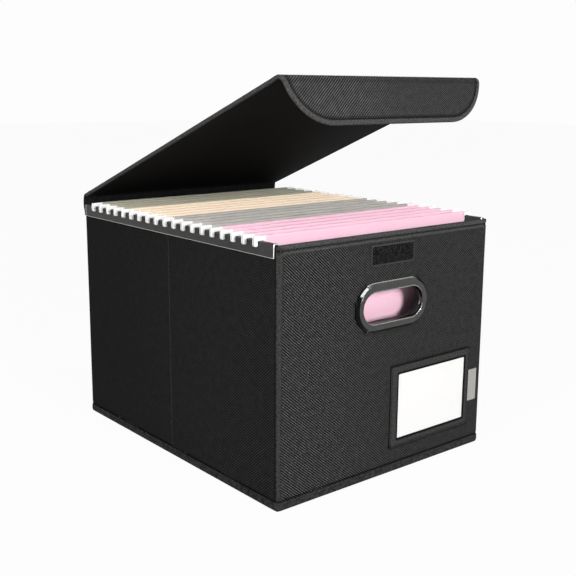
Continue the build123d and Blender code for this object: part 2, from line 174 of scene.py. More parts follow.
class Finish:
    """A material in the making. Its nodes read the object's own coordinates, or the cloth's pattern."""

    def __init__(self, name, on_pattern=False):
        self.material = bpy.data.materials.new(name)
        self.material.use_nodes = True
        self.tree = self.material.node_tree
        if on_pattern:
            self.where = self.node("ShaderNodeUVMap", uv_map="pattern").outputs[0]
        else:
            self.where = self.node("ShaderNodeTexCoord").outputs["Object"]

    def node(self, kind, inputs=None, **settings):
        """One more node."""
        return add_node(self.tree, kind, inputs, **settings)

    def maths(self, operation, *terms):
        """The result of one sum."""
        return maths(self.tree, operation, *terms)

    def stretched(self, scale):
        """The place in the object, drawn out where the scale is below 1."""
        return self.node("ShaderNodeMapping", {"Vector": self.where, "Scale": scale}).outputs[0]

    def noise(self, scale, detail, roughness=0.5, where=None):
        """Uneven flecks, about 0.5 on the whole."""
        inputs = {"Vector": where or self.where, "Scale": scale, "Detail": detail, "Roughness": roughness}
        return self.node("ShaderNodeTexNoise", inputs).outputs["Fac"]

    def level(self, value, low, high, start, end, **settings):
        """Carries the range from low to high into the range from start to end."""
        inputs = {"Value": value, "From Min": low, "From Max": high, "To Min": start, "To Max": end}
        return self.node("ShaderNodeMapRange", inputs, **settings).outputs[0]

    def mix(self, share, first, second):
        """The first colour where the share is 0 and the second where it is 1."""
        first, second = ((*colour, 1) if isinstance(colour, tuple) else colour for colour in (first, second))
        colour_a, colour_b, blended = 6, 7, 2
        inputs = {"Factor": share, colour_a: first, colour_b: second}
        return self.node("ShaderNodeMix", inputs, data_type="RGBA").outputs[blended]

    def scaled(self, colour, share):
        """A colour made darker or paler."""
        return self.node("ShaderNodeVectorMath", {0: colour, "Scale": share}, operation="SCALE").outputs[0]

    def mark(self, name):
        """What the mesh's points carry under this name."""
        return self.node("ShaderNodeAttribute", attribute_name=name).outputs["Fac"]

    def done(self, colour, height, strength, depth, rough, shine=0.5, metal=0.0):
        """The finished material: its colour, a fine relief with its strength and depth, and its gloss."""
        bump = self.node("ShaderNodeBump", {"Height": height, "Strength": strength, "Distance": depth})
        shader = self.tree.nodes["Principled BSDF"]
        for key, value in (
            ("Base Color", colour), ("Normal", bump.outputs[0]), ("Roughness", rough),
            ("Specular IOR Level", shine), ("Metallic", metal),
        ):
            if isinstance(value, bpy.types.NodeSocket):
                self.tree.links.new(value, shader.inputs[key])
            else:
                shader.inputs[key].default_value = value
        return self.material


def ribbed_cloth(name, groove_shade_colour, rib_light_colour, hem, rising, falling, span=(-0.16, 0.16), pitch=0.00239):
    """Black nonwoven cloth pressed with fine diagonal ribs, flat and paler where it is hemmed. The ribs' light and
    shade are painted into the colour: pale on the ribs, dark in the grooves. rising and falling give the
    strengths of the two sets of ribs at the low and at the high end of span across it, painted to follow
    how the light picks out each set."""
    cloth = Finish(name, on_pattern=True)
    sway = cloth.maths("MULTIPLY", cloth.noise(45.0, 2.0), 2.4)
    across = cloth.node("ShaderNodeSeparateXYZ", {0: cloth.where}).outputs["X"]
    turn, lean, rib_sharpness = 2 * math.pi / pitch, 0.71, 8.0
    waves = []
    for sign, share in ((1, rising), (-1, falling)):
        step = (turn * math.sin(lean), sign * turn * math.cos(lean), 0)
        phase = cloth.node("ShaderNodeVectorMath", {0: cloth.where, 1: step}, operation="DOT_PRODUCT")
        swing = cloth.maths("SINE", cloth.maths("ADD", phase.outputs["Value"], sway))
        wave = cloth.maths("POWER", cloth.level(swing, -1, 1, 0, 1), rib_sharpness)
        patch = cloth.level(cloth.noise(150.0 + 30 * sign, 3.0), 0.3, 0.7, 0.45, 1.0)
        # painted light: each set of ribs is made stronger where the light picks it out on the piece
        here = cloth.level(across, *span, *share, interpolation_type="SMOOTHSTEP")
        waves.append(cloth.maths("MULTIPLY", wave, cloth.maths("MULTIPLY", patch, here)))
    fibres = cloth.level(cloth.noise(1300.0, 4.0, 0.7), 0.3, 0.7, -0.12, 0.20)
    pressed = cloth.mark("pressed")
    kept = cloth.maths("MULTIPLY", cloth.maths("MAXIMUM", *waves), cloth.level(pressed, 0, 1, 1.0, 0.12))
    height = cloth.maths("ADD", kept, fibres)
    # painted light and shade of the ribs: pale ribs, dark grooves
    painted_rib_shading = cloth.mix(cloth.level(height, 0, 1, 0, 1), groove_shade_colour, rib_light_colour)
    hemmed = cloth.scaled(hem, cloth.level(cloth.noise(520.0, 3.0, 0.65), 0.3, 0.7, 0.35, 1.65))
    # painted shade: the colour darkens where the mesh carries its crease shade share
    shade = cloth.level(cloth.mark("crease_shade"), 0, 1, 1.0, 0.10)
    colour = cloth.scaled(cloth.mix(pressed, painted_rib_shading, hemmed), shade)
    return cloth.done(colour, height, 0.75, 0.00022, 0.85, shine=0.03)


# The strengths of the two sets of ribs, changing across the front and back walls, are painted for how the light picks
# them out.
box_cloth = ribbed_cloth(
    "box_cloth", (0.0020, 0.0021, 0.0020), (0.158, 0.159, 0.156), (0.052, 0.0525, 0.0512),
    (1.0, 0.45), (0.08, 0.36), (-0.155, 0.05), 0.00234,
)
# The side walls are the same cloth as the front and back, painted darker for the shade on the sides, with their rib
# strengths painted for the light there.
shaded_side_cloth = ribbed_cloth(
    "shaded_side_cloth", (0.0046, 0.0047, 0.0046), (0.061, 0.0615, 0.060), (0.028, 0.0285, 0.0275),
    (0.15, 0.25), (0.30, 0.85),
)
lined = Finish("lining")
dots = lined.node("ShaderNodeTexVoronoi", {"Vector": lined.where, "Scale": 620.0, "Randomness": 0.25}, feature="F1")
dotted = lined.maths("MULTIPLY", lined.level(dots.outputs["Distance"], 0.15, 0.55, 0, 1), lined.noise(900.0, 3.0))
lining_colour = lined.mix(dotted, (0.0032, 0.0032, 0.0032), (0.0135, 0.0135, 0.0132))
lining = lined.done(lining_colour, dotted, 0.5, 0.00015, 0.8, shine=0.06)


def rounded_loop(points, radii, step=0.0012):
    """A closed loop of pattern points, anticlockwise, with each corner turned on its own radius."""
    loop = []
    for i, radius in enumerate(radii):
        corner = np.array(points[i], float)
        before = np.array(points[i - 1], float) - corner
        after = np.array(points[(i + 1) % len(points)], float) - corner
        before, after = before / np.linalg.norm(before), after / np.linalg.norm(after)
        half_turn = math.acos(np.clip(before @ after, -1, 1)) / 2
        middle = corner + (before + after) / np.linalg.norm(before + after) * radius / math.sin(half_turn)
        start = corner + before * radius / math.tan(half_turn) - middle
        turn = math.copysign(math.pi - 2 * half_turn, after[0] * before[1] - after[1] * before[0])
        pieces = max(2, int(radius * abs(turn) / step))
        first = math.atan2(start[1], start[0])
        for angle in (first + turn * k / pieces for k in range(pieces + 1)):
            loop.append(middle + radius * np.array((math.cos(angle), math.sin(angle))))
    return np.array(loop)


def rounded_box(left, right, low, high, radii, step=0.0012):
    """A rectangle with rounded corners, given by one radius or by four."""
    corners = [(left, low), (right, low), (right, high), (left, high)]
    return rounded_loop(corners, radii if isinstance(radii, tuple) else [radii] * 4, step)


def spaced(loop, step):
    """The same loop with points no further apart than step."""
    out = []
    for a, b in zip(loop, np.roll(loop, -1, 0)):
        pieces = max(1, int(np.ceil(np.linalg.norm(b - a) / step)))
        out += [a + (b - a) * k / pieces for k in range(pieces)]
    return np.array(out)


def inwards(loop):
    """The direction into a closed anticlockwise loop, at each of its points."""
    run = np.roll(loop, -1, 0) - np.roll(loop, 1, 0)
    run /= np.linalg.norm(run, axis=1)[:, None]
    return np.stack([-run[:, 1], run[:, 0]], 1)


def loop_distance(points, loop):
    """How far each point lies from a loop."""
    nearest = np.full(len(points), 1e9)
    for a, b in zip(loop, np.roll(loop, -1, 0)):
        run = b - a
        along = np.clip(((points - a) @ run) / max(run @ run, 1e-18), 0, 1)
        nearest = np.minimum(nearest, np.hypot(*(points - a - along[:, None] * run).T))
    return nearest


def inside(points, loop):
    """True for each point within a loop."""
    crossings = np.zeros(len(points), int)
    for a, b in zip(loop, np.roll(loop, -1, 0)):
        spans = (a[1] > points[:, 1]) != (b[1] > points[:, 1])
        rise = b[1] - a[1] if b[1] != a[1] else 1e-12
        crossings += spans & (points[:, 0] < (b[0] - a[0]) * (points[:, 1] - a[1]) / rise + a[0])
    return crossings % 2 == 1


def on_cloth(points, loops, gaps=()):
    """True for each point inside the outline, outside the holes, and further from each loop than its gap."""
    keep = inside(points, loops[0])
    for hole in loops[1:]:
        keep &= ~inside(points, hole)
    for loop, gap in zip(loops, gaps):
        keep &= loop_distance(points, loop) > gap
    return keep


def sewn_panel(name, outline, holes, place, relief, rings, grid, cloths, wrap=0.001, folds=(), edge_step=0.003):
    """A stitched cloth panel with a face and a back that meet at its edges. The pattern is a flat outline with
    holes, with close rows of points along its edges and its upright folds. relief gives the heights of the
    face and of the back, the pressed share and the share of painted shade for seams, creases and edges at
    pattern points, and place carries pattern points with a height into the frame. The face's cloth turns
    round the edge by wrap."""
    loops = [spaced(loop, edge_step) for loop in (outline, *holes)]
    points, edges, start = [np.vstack(loops)], [], 0
    for loop in loops:
        edges += [(start + i, start + (i + 1) % len(loop)) for i in range(len(loop))]
        start += len(loop)
    for number, loop in enumerate(loops):
        away = inwards(loop) if number == 0 else -inwards(loop)
        for reach in rings if number == 0 else rings[:4]:
            moved = loop + away * reach
            points.append(moved[on_cloth(moved, loops, [reach * 0.97] * len(loops))])
    low, high = loops[0].min(0), loops[0].max(0)
    sides = [np.linspace(low[k], high[k], int((high[k] - low[k]) / grid) + 1) for k in (0, 1)]
    cells = np.stack([side.ravel() for side in np.meshgrid(*sides)], 1)
    cell_gaps = [rings[-1] + grid * 0.4] + [rings[3] + grid * 0.4] * len(holes)
    points.append(cells[on_cloth(cells, loops, cell_gaps)])
    fold_step = 0.0015
    for fold in folds:
        run = np.arange(low[1] + rings[-1], high[1] - rings[-1], fold_step)
        points.append(np.stack([np.full(len(run), fold), run], 1))
    made = geometry.delaunay_2d_cdt([Vector(p) for p in np.vstack(points)], edges, [], 1, 1e-7)
    flat = np.array([tuple(p) for p in made[0]])
    triangles = np.array(made[2])
    triangles = triangles[on_cloth(flat[triangles].mean(1), loops)]
    edge_gap = np.min([loop_distance(flat, loop) for loop in loops], 0)
    own = edge_gap >= 1e-6
    face, back, pressed, crease_shade = relief(flat[:, 0], flat[:, 1])
    back_index = np.where(own, len(flat) + np.cumsum(own) - 1, np.arange(len(flat)))
    vertices = np.vstack([place(flat, face), place(flat[own], back[own])])
    faces = np.vstack([triangles, back_index[triangles][:, ::-1]])
    mesh = bpy.data.meshes.new(name)
    mesh.from_pydata(vertices.tolist(), [], faces.tolist())
    corners = np.zeros(len(mesh.loops), int)
    mesh.loops.foreach_get("vertex_index", corners)
    pattern = np.vstack([flat, flat[own]])[corners]
    mesh.uv_layers.new(name="pattern").data.foreach_set("uv", pattern.astype(np.float32).ravel())
    # the second share is painted shade for seams, creases and edges
    for title, values in (("pressed", pressed), ("crease_shade", crease_shade)):
        held = mesh.attributes.new(title, "FLOAT", "POINT")
        held.data.foreach_set("value", np.concatenate([values, values[own]]).astype(np.float32))
    behind = np.zeros(len(faces), np.int32)
    behind[len(triangles):] = edge_gap[triangles].mean(1) > wrap
    for cloth in cloths:
        mesh.materials.append(cloth)
    mesh.polygons.foreach_set("material_index", behind)
    mesh.polygons.foreach_set("use_smooth", np.ones(len(faces), bool))
    mesh.update()
    return in_scene(name, mesh)


def rounding(gap, radius):
    """Depth of a rounded edge at a distance from that edge."""
    inset = np.clip(radius - gap, 0, radius)
    return radius - np.sqrt(np.maximum(radius**2 - inset**2, 0))


def groove(gap, half):
    """1 in the middle of a groove, falling to 0 at half its width."""
    return np.clip(1 - (gap / half) ** 2, 0, 1) ** 2


def slow_swell(u, v, seed):
    """Soft unevenness of cloth over a board, from 0 to 1."""
    length = 0.07
    return np.array([
        0.5 + 0.5 * noise.noise(Vector((a / length + seed, b / length - seed, seed * 0.37))) for a, b in zip(u, v)
    ])


def frame_gap(u, v, left, right, low, high):
    """Distance from the outline of an upright rectangle, inside it and outside."""
    over_u = np.maximum(left - u, u - right)
    over_v = np.maximum(low - v, v - high)
    outside_gap = np.hypot(np.maximum(over_u, 0), np.maximum(over_v, 0))
    return np.where((over_u < 0) & (over_v < 0), -np.maximum(over_u, over_v), outside_gap)


hem_depth, second_seam, back_round, fade = 0.0055, 0.0100, 0.0007, 0.0006


def rolled_width(v):
    """How wide the cloth is rolled over a wall's upright edge, at each height."""
    return 0.0030 + 0.0028 * v / wall_height


def end_wall_relief(front):
    """Heights of a front or back wall: rolled edges, two hem seams, and pinches round what is sewn to it, with
    painted shade in the seams, the pinches, the groove over the binding, the rolled edges and along the outer edge.
    """
    def relief(u, v):
        side_gap, top_gap, roll = half_width - np.abs(u), wall_height - v, rolled_width(v)
        seam_gap = side_gap - roll - 0.0004
        seams = groove(top_gap - hem_depth, 0.0013) + 0.35 * groove(top_gap - second_seam, 0.0008)
        foot = groove(v - binding_top - 0.0009, 0.0016)
        grip_gap = np.hypot(np.maximum(np.abs(u) - bezel_reach, 0), v - grip_height) - bezel_radius
        pinch = groove(grip_gap - 0.0003, 0.0012)
        if front:
            pinch = np.maximum(pinch, groove(frame_gap(u, v, *pocket_box), 0.0016))
            pinch = np.maximum(pinch, 0.5 * groove(frame_gap(u, v, *tape_box), 0.0009))
        face = -0.00035 * slow_swell(u, v, 3.1 if front else 7.7)
        face -= 0.0008 * seams + 0.0009 * foot + 0.0004 * pinch
        face += 0.00025 * groove(top_gap - 0.0028, 0.0028)
        face -= np.maximum(rounding(side_gap, roll), rounding(top_gap, 0.0022))
        back = -wall_thick + rounding(np.minimum(side_gap, top_gap), back_round)
        rolled = np.clip((roll - side_gap) / fade, 0, 1)
        hemmed = np.clip((second_seam - top_gap) / fade, 0, 1)
        band = np.maximum(np.maximum(hemmed, 0.9 * groove(seam_gap, 0.0007)), 0.8 * rolled)
        # painted shade along the wall's outer edge and in the seam beside the rolled edge
        edge_shade = 0.7 * np.clip((0.0005 - side_gap) / 0.0004, 0, 1) + 0.5 * groove(seam_gap, 0.0008)
        # painted shade for the seams, the groove over the binding, the pinches and the rolled edges
        crease_shade = np.clip(1.1 * seams + foot + pinch + 0.30 * rolled + edge_shade, 0, 1)
        return np.maximum(face, -wall_thick + back_round), back, band, crease_shade
    return relief


def side_wall_relief(seed):
    """Heights of a side wall, with the line at its middle where the box folds, pressed and a little worn, and painted
    shade beside the fold, over the binding and at the wall's ends.
    """
    def relief(u, v):
        top_gap, end_gap = wall_height - v, inner_depth / 2 - np.abs(u)
        foot = groove(v - binding_top - 0.0008, 0.0011)
        face = -0.0004 * slow_swell(u, v, seed) - 0.0007 * groove(u, 0.0016) - 0.0009 * foot
        face -= rounding(top_gap, 0.0015) + 0.0006 * groove(end_gap, 0.0012)
        back = -wall_thick + rounding(top_gap, back_round) + 0.0004 * groove(u, 0.0011)
        worn = np.clip(1.8 * groove(u, 0.0013), 0, 1)
        # painted shade on one side of the fold, in the groove over the binding and at the wall's ends
        crease_shade = np.clip(0.25 * groove(u - 0.0018, 0.0010) + foot + groove(end_gap, 0.0010), 0, 1)
        return face, back, worn, crease_shade
    return relief


def on_front(p, w):
    """Carries points of the front wall's pattern into the frame."""
    return np.stack([p[:, 0], -half_depth - w, p[:, 1]], 1)


def on_back(p, w):
    """Carries points of the back wall's pattern into the frame."""
    return np.stack([-p[:, 0], half_depth + w, p[:, 1]], 1)


wall_grid = 0.0036
end_outline = rounded_box(-half_width, half_width, foot_gap, wall_height, (0.0008, 0.0008, 0.0026, 0.0026))
hole_half = wall_hole_reach + wall_hole_radius
grip_hole = rounded_box(
    -hole_half, hole_half, grip_height - wall_hole_radius, grip_height + wall_hole_radius, wall_hole_radius * 0.9999,
)
end_rings = [
    0.0004, 0.0009, 0.0016, 0.0026, 0.0038, 0.0048, 0.0055, 0.0062, 0.0074, 0.0088, 0.0095, 0.0101, 0.0108, 0.0118,
]
for name, node, place in (("front_wall", "front_cover", on_front), ("back_wall", "back_cover", on_back)):
    wall = sewn_panel(
        name, end_outline, [grip_hole], place, end_wall_relief(place is on_front), end_rings, wall_grid,
        (box_cloth, lining),
    )
    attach(wall, "root")
    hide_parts(node)
side_outline = rounded_box(-inner_depth / 2, inner_depth / 2, foot_gap, wall_height, 0.0005)
side_rings = [0.0004, 0.0009, 0.0016, 0.0030, 0.0050, 0.0085, 0.0095, 0.0101, 0.0108, 0.0118]
fold_rows = (-0.0013, -0.00065, 0.0, 0.00065, 0.0013, 0.0018, 0.0026)
for name, node, side, seed in (("left_wall", "left_cover", -1, 11.3), ("right_wall", "right_cover", 1, 17.9)):
    wall = sewn_panel(
        name, side_outline, [], lambda p, w: np.stack([side * (half_width + w), side * p[:, 0], p[:, 1]], 1),
        side_wall_relief(seed), side_rings, wall_grid, (shaded_side_cloth, lining), folds=fold_rows,
    )
    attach(wall, "root")
    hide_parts(node)

# ---------------------------------------------------------------- bottom
# The bottom is one sheet of the same cloth, pressed at its middle where the box folds. A tape is wrapped
# round the lower edges of the walls and sewn through, and a loose covered board lies inside.
base_sheet, base_half = 0.002, half_width - wall_thick


def bottom_relief(u, v):
    """Heights of the bottom sheet, seen from below, with painted shade in its fold and its seam."""
    edge = np.minimum(base_half - np.abs(u), inner_depth / 2 - np.abs(v))
    seam = groove(edge - 0.006, 0.0008)
    fold = groove(v, 0.0011)
    face = -0.0003 * slow_swell(u, v, 23.0) - 0.0005 * fold - 0.0004 * seam - rounding(edge, 0.0006)
    return face, -base_sheet + rounding(edge, 0.0006), np.zeros(len(u)), np.clip(fold + seam, 0, 1)


base_cloth = ribbed_cloth(
    "base_cloth", (0.004, 0.0041, 0.004), (0.12, 0.121, 0.119), (0.04, 0.0405, 0.04), (0.6, 0.6), (0.6, 0.6),
)
bottom_sheet = sewn_panel(
    "bottom_sheet", rounded_box(-base_half, base_half, -inner_depth / 2, inner_depth / 2, 0.0004), [],
    lambda p, w: np.stack([-p[:, 0], p[:, 1], 0.0001 - w], 1),
    bottom_relief, [0.0005, 0.0052, 0.0060, 0.0068], 0.005, (base_cloth, lining),
)
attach(bottom_sheet, "root")
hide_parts("base_cover")


def points_of(mesh):
    """The places of a mesh's points."""
    spots = np.zeros(len(mesh.vertices) * 3)
    mesh.vertices.foreach_get("co", spots)
    return spots.reshape(-1, 3)


def lofted(name, rings, materials, around=False, smooth=True):
    """A closed skin over rings of points, turned face out. around joins the last ring to the first, and
    otherwise both ends are closed flat."""
    rings = np.array(rings, float)
    count, size = rings.shape[:2]
    along = np.concatenate([[0], np.cumsum(np.linalg.norm(np.diff(rings.mean(1), axis=0), axis=1))])
    girth = np.concatenate([[0], np.cumsum(np.linalg.norm(np.roll(rings[0], -1, 0) - rings[0], axis=1))])
    if around:
        along = np.append(along, along[-1] + np.linalg.norm(rings[0].mean(0) - rings[-1].mean(0)))
    faces, mapping = [], []
    for i in range(count if around else count - 1):
        j = (i + 1) % count
        for k in range(size):
            m = (k + 1) % size
            faces.append((i * size + k, j * size + k, j * size + m, i * size + m))
            mapping += [(along[a], girth[b]) for a, b in ((i, k), (i + 1, k), (i + 1, k + 1), (i, k + 1))]
    for ring, order in () if around else ((0, 1), (count - 1, -1)):
        faces.append([ring * size + k for k in range(size)][::order])
        mapping += [(float(p @ (0.6, 0.8, 0)), float(p[2])) for p in rings[ring][::order]]
    mesh = bpy.data.meshes.new(name)
    mesh.from_pydata(rings.reshape(-1, 3).tolist(), [], faces)
    mesh.uv_layers.new(name="pattern").data.foreach_set("uv", np.array(mapping, np.float32).ravel())
    mesh.polygons.foreach_set("use_smooth", np.full(len(faces), smooth))
    for material in materials:
        mesh.materials.append(material)
    mesh.update()
    mesh.calc_loop_triangles()
    corners = np.zeros(len(mesh.loop_triangles) * 3, int)
    mesh.loop_triangles.foreach_get("vertices", corners)
    a, b, c = (points_of(mesh)[corners.reshape(-1, 3)[:, k]] for k in range(3))
    if np.einsum("ij,ij->i", a, np.cross(b, c)).sum() < 0:
        mesh.flip_normals()
    return in_scene(name, mesh)


def hem_cloth(name, colour, spread):
    """Plain black nonwoven tape: felted fibres with a faint sheen, in paler and darker flecks."""
    cloth = Finish(name)
    both = cloth.maths("ADD", cloth.noise(520.0, 4.0, 0.65), cloth.noise(240.0, 2.0))
    shade = cloth.scaled(colour, cloth.level(both, 0.75, 1.25, 1 - spread, 1 + spread))
    return cloth.done(shade, both, 0.6, 0.0003, 0.85, shine=0.06)


def mottled(name, low, high, scale, detail, relief, rough, edges=None, shine=0.5, metal=0.0):
    """A plain stuff that drifts between two colours, with the same drift in its fine relief and, where rough
    is a range, in its gloss. Between edges, where they are given, the one colour turns into the other."""
    stuff = Finish(name)
    drift = stuff.noise(scale, detail)
    share = stuff.level(drift, *edges, 0, 1) if edges else drift
    gloss = stuff.level(drift, 0, 1, *rough) if isinstance(rough, tuple) else rough
    return stuff.done(stuff.mix(share, low, high), drift, *relief, gloss, shine, metal)


binding_section = [
    (0.0002, 0.0094), (0.0007, 0.0097), (0.0012, 0.0092), (0.00140, 0.0080), (0.00118, 0.0072), (0.00145, 0.0062),
    (0.00155, 0.0045), (0.00135, 0.0028), (0.0009, 0.0014), (0.0000, 0.0004), (-0.0014, 0.0001),
    (-0.0014, 0.0008), (0.0002, 0.0020),
]
binding_line = spaced(rounded_box(-half_width, half_width, -half_depth, half_depth, 0.0052, 0.0006), 0.006)
binding_out = -inwards(binding_line)
binding_rings = []
for spot, outward in zip(binding_line, binding_out):
    ripple = 0.00018 * noise.noise(Vector((spot[0] * 60, spot[1] * 60, 5.0)))
    binding_rings.append([(*(spot + outward * (out + ripple)), height) for out, height in binding_section])
binding_cloth = hem_cloth("binding_cloth", (0.0235, 0.0237, 0.0232), 0.65)
lower_binding = lofted("lower_binding", binding_rings, [binding_cloth], around=True)
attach(lower_binding, "root")
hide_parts("base_binding")
chipboard = mottled(
    "chipboard", (0.16, 0.14, 0.12), (0.33, 0.30, 0.26), 420.0, 5.0, (0.4, 0.0002), 0.9, edges=(0.35, 0.65),
)
for node, material in (
    ("floor_board", lining), ("end_boards", chipboard), ("side_boards", chipboard), ("lid_board", chipboard),
    ("flap_board", chipboard),
):
    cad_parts[node].data.materials.clear()
    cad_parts[node].data.materials.append(material)

# ---------------------------------------------------------------- hanging rails
# A channel of dark coated sheet steel is pressed over the top edge of each side wall. Its sheared edges
# and ends are bare and bright.
rail_sheet, rail_flange, rail_turn = 0.0008, 0.0140, 0.0014
rail_outer, rail_inner, rail_top, rail_half = 0.1599, 0.1531, 0.2779, 0.1920
bare_reach = 0.0013


def arc(middle, radius, first, last, pieces):
    """Points along a circle from one angle to another, in degrees."""
    angles = [math.radians(first + (last - first) * k / pieces) for k in range(pieces + 1)]
    return [(middle[0] + radius * math.cos(angle), middle[1] + radius * math.sin(angle)) for angle in angles]


def thick_section(path, thickness):
    """The closed outline of a thin sheet that follows a path."""
    path = np.array(path, float)
    run = np.gradient(path, axis=0)
    run /= np.linalg.norm(run, axis=1)[:, None]
    side = np.stack([-run[:, 1], run[:, 0]], 1) * thickness / 2
    return np.vstack([path + side, (path - side)[::-1]])


coated = Finish("coated_steel")
scuffs = coated.noise(900.0, 4.0, where=coated.stretched((1.0, 0.06, 1.0)))
scuffed = coated.maths("MULTIPLY", scuffs, coated.noise(160.0, 3.0))
coat = coated.mix(scuffed, (0.022, 0.022, 0.0215), (0.072, 0.072, 0.070))
sheared = coated.level(coated.mark("bare"), 0.35, 0.65, 0, 1)
steel = coated.done(
    coated.mix(sheared, coat, (0.80, 0.79, 0.74)), scuffs, 0.15, 0.0001, coated.level(scuffs, 0, 1, 0.34, 0.52),
    shine=0.18, metal=coated.level(sheared, 0, 1, 0.25, 0.85),
)
outer_line, inner_line = rail_outer - rail_sheet / 2, rail_inner + rail_sheet / 2
rail_low, turn_high, turn_radius = rail_top - rail_flange, rail_top - rail_turn, rail_turn - rail_sheet / 2
rail_path = [
    (outer_line + 0.00045, rail_low), (outer_line + 0.00040, rail_low + 0.0006),
    (outer_line + 0.00012, rail_low + 0.0012), (outer_line, rail_low + 0.0016),
    *arc((rail_outer - rail_turn, turn_high), turn_radius, 0, 90, 5),
    *arc((rail_inner + rail_turn, turn_high), turn_radius, 90, 180, 5),
    (inner_line, rail_low + 0.0016), (inner_line, rail_low),
]
rail_section = thick_section(rail_path, rail_sheet)
rail_end = [rail_half - 0.0016, rail_half - bare_reach, rail_half - 0.0002, rail_half]
rail_stations = [-y for y in rail_end[::-1]] + list(np.linspace(-rail_half + 0.01, rail_half - 0.01, 24)) + rail_end
for side, name in ((-1, "left_rail"), (1, "right_rail")):
    rail = lofted(name, [[(side * x, y, z) for x, z in rail_section] for y in rail_stations], [steel])
    spots = points_of(rail.data)
    bare = (spots[:, 2] < rail_low + 0.0007) | (np.abs(spots[:, 1]) > rail_half - bare_reach + 0.0001)
    rail.data.attributes.new("bare", "FLOAT", "POINT").data.foreach_set("value", bare.astype(np.float32))
    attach(rail, "root")
    if side == 1:
        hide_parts("hanging_rails")

# ---------------------------------------------------------------- hanging folders
# Each folder is one sheet of coloured card stock, folded at the bottom and hemmed over a flat white bar
# at both top edges. The ends of the bars are hooks that ride on the rails.
folder_count, folder_pitch, first_folder = 19, 0.0184, -0.1656
folder_half, folder_top, folder_bottom = 0.1510, 0.2829, 0.0449
paper, hem = 0.0004, 0.0140
tube_near, tube_far, foot_half = 0.00025, 0.00205, 0.0010
bar_thick, bar_near, bar_top = 0.0011, 0.0006, 0.2825


def card_stock(name, colour, shade):
    """Coloured card stock: short fibres, faint mottling and a soft eggshell surface."""
    stock = Finish(name)
    fibres = stock.noise(700.0, 5.0, 0.6, stock.stretched((0.35, 1.0, 1.0)))
    tone = stock.level(stock.maths("MULTIPLY", fibres, stock.noise(35.0, 2.0)), 0.12, 0.38, 0, 1)
    return stock.done(stock.mix(tone, shade, colour), fibres, 0.25, 0.0001, 0.62, shine=0.3)


stocks = {
    "pink_paper": card_stock("pink_card", (0.93, 0.59, 0.71), (0.91, 0.55, 0.68)),
    "grey_paper": card_stock("grey_card", (0.50, 0.475, 0.445), (0.41, 0.39, 0.365)),
    "peach_paper": card_stock("peach_card", (0.98, 0.81, 0.63), (0.97, 0.79, 0.61)),
    "olive_paper": card_stock("olive_card", (0.41, 0.395, 0.31), (0.37, 0.36, 0.275)),
}
white_plastic = mottled(
    "hook_plastic", (0.92, 0.92, 0.91), (0.97, 0.97, 0.96), 260.0, 2.0, (0.1, 0.0002), (0.3, 0.45),
)
tube_round, tube_middle = (tube_far - tube_near) / 2, (tube_far + tube_near) / 2
hem_end = folder_top - hem
leaf_drop = folder_bottom + paper - hem_end
folder_path = [
    (tube_near, hem_end), (tube_near, folder_top - hem / 2),
    *arc((tube_middle, folder_top - paper / 2 - tube_round), tube_round, 180, 0, 8),
    (tube_far, folder_top - hem / 2), (tube_far, hem_end),
    *[(tube_far + (foot_half - tube_far) * k / 6, hem_end + leaf_drop * k / 6) for k in range(1, 7)],
    (foot_half / 2, folder_bottom + paper / 2),
]
folder_path += [(-y, z) for y, z in folder_path[::-1]]
folder_section = thick_section(folder_path, paper)
folder_stations = [-folder_half, *np.linspace(-folder_half + 0.002, folder_half - 0.002, 15), folder_half]

rail_gap = 0.0003
strip_half, tip_in, tip_out = rail_inner - rail_gap, rail_outer + rail_gap, 0.1645
arm_low, strip_low, tip_low = 0.2781, 0.2715, 0.2725
right_hook = [
    (strip_half, strip_low), (strip_half, arm_low), (tip_in, arm_low), (tip_in, tip_low), (tip_out, tip_low),
    (tip_out, bar_top),
]
hook_radii = [0.0008, 0.0005, 0.0005, 0.0010, 0.0020, 0.0013]
hanger_outline = rounded_loop(
    [(-strip_half, strip_low), *right_hook, *[(-x, z) for x, z in right_hook[:0:-1]]],
    [hook_radii[0], *hook_radii, *hook_radii[:0:-1]], 0.0006,
)
hanger_inwards = inwards(hanger_outline)


def joined(name, parts):
    """Several meshes as one object."""
    mesh = bpy.data.meshes.new(name)
    vertices, faces, mapping, smooth, slots, materials = [], [], [], [], [], []
    for part in parts:
        data, base = part.data, len(vertices)
        vertices += [tuple(v.co) for v in data.vertices]
        materials += [m for m in data.materials if m not in materials]
        for polygon in data.polygons:
            faces.append([base + i for i in polygon.vertices])
            smooth.append(polygon.use_smooth)
            slots.append(materials.index(data.materials[polygon.material_index]))
        mapping += [tuple(corner.uv) for corner in data.uv_layers["pattern"].data]
        bpy.data.objects.remove(part)
        bpy.data.meshes.remove(data)
    mesh.from_pydata(vertices, [], faces)
    mesh.uv_layers.new(name="pattern").data.foreach_set("uv", np.array(mapping, np.float32).ravel())
    for material in materials:
        mesh.materials.append(material)
    mesh.polygons.foreach_set("use_smooth", smooth)
    mesh.polygons.foreach_set("material_index", slots)
    mesh.update()
    return in_scene(name, mesh)


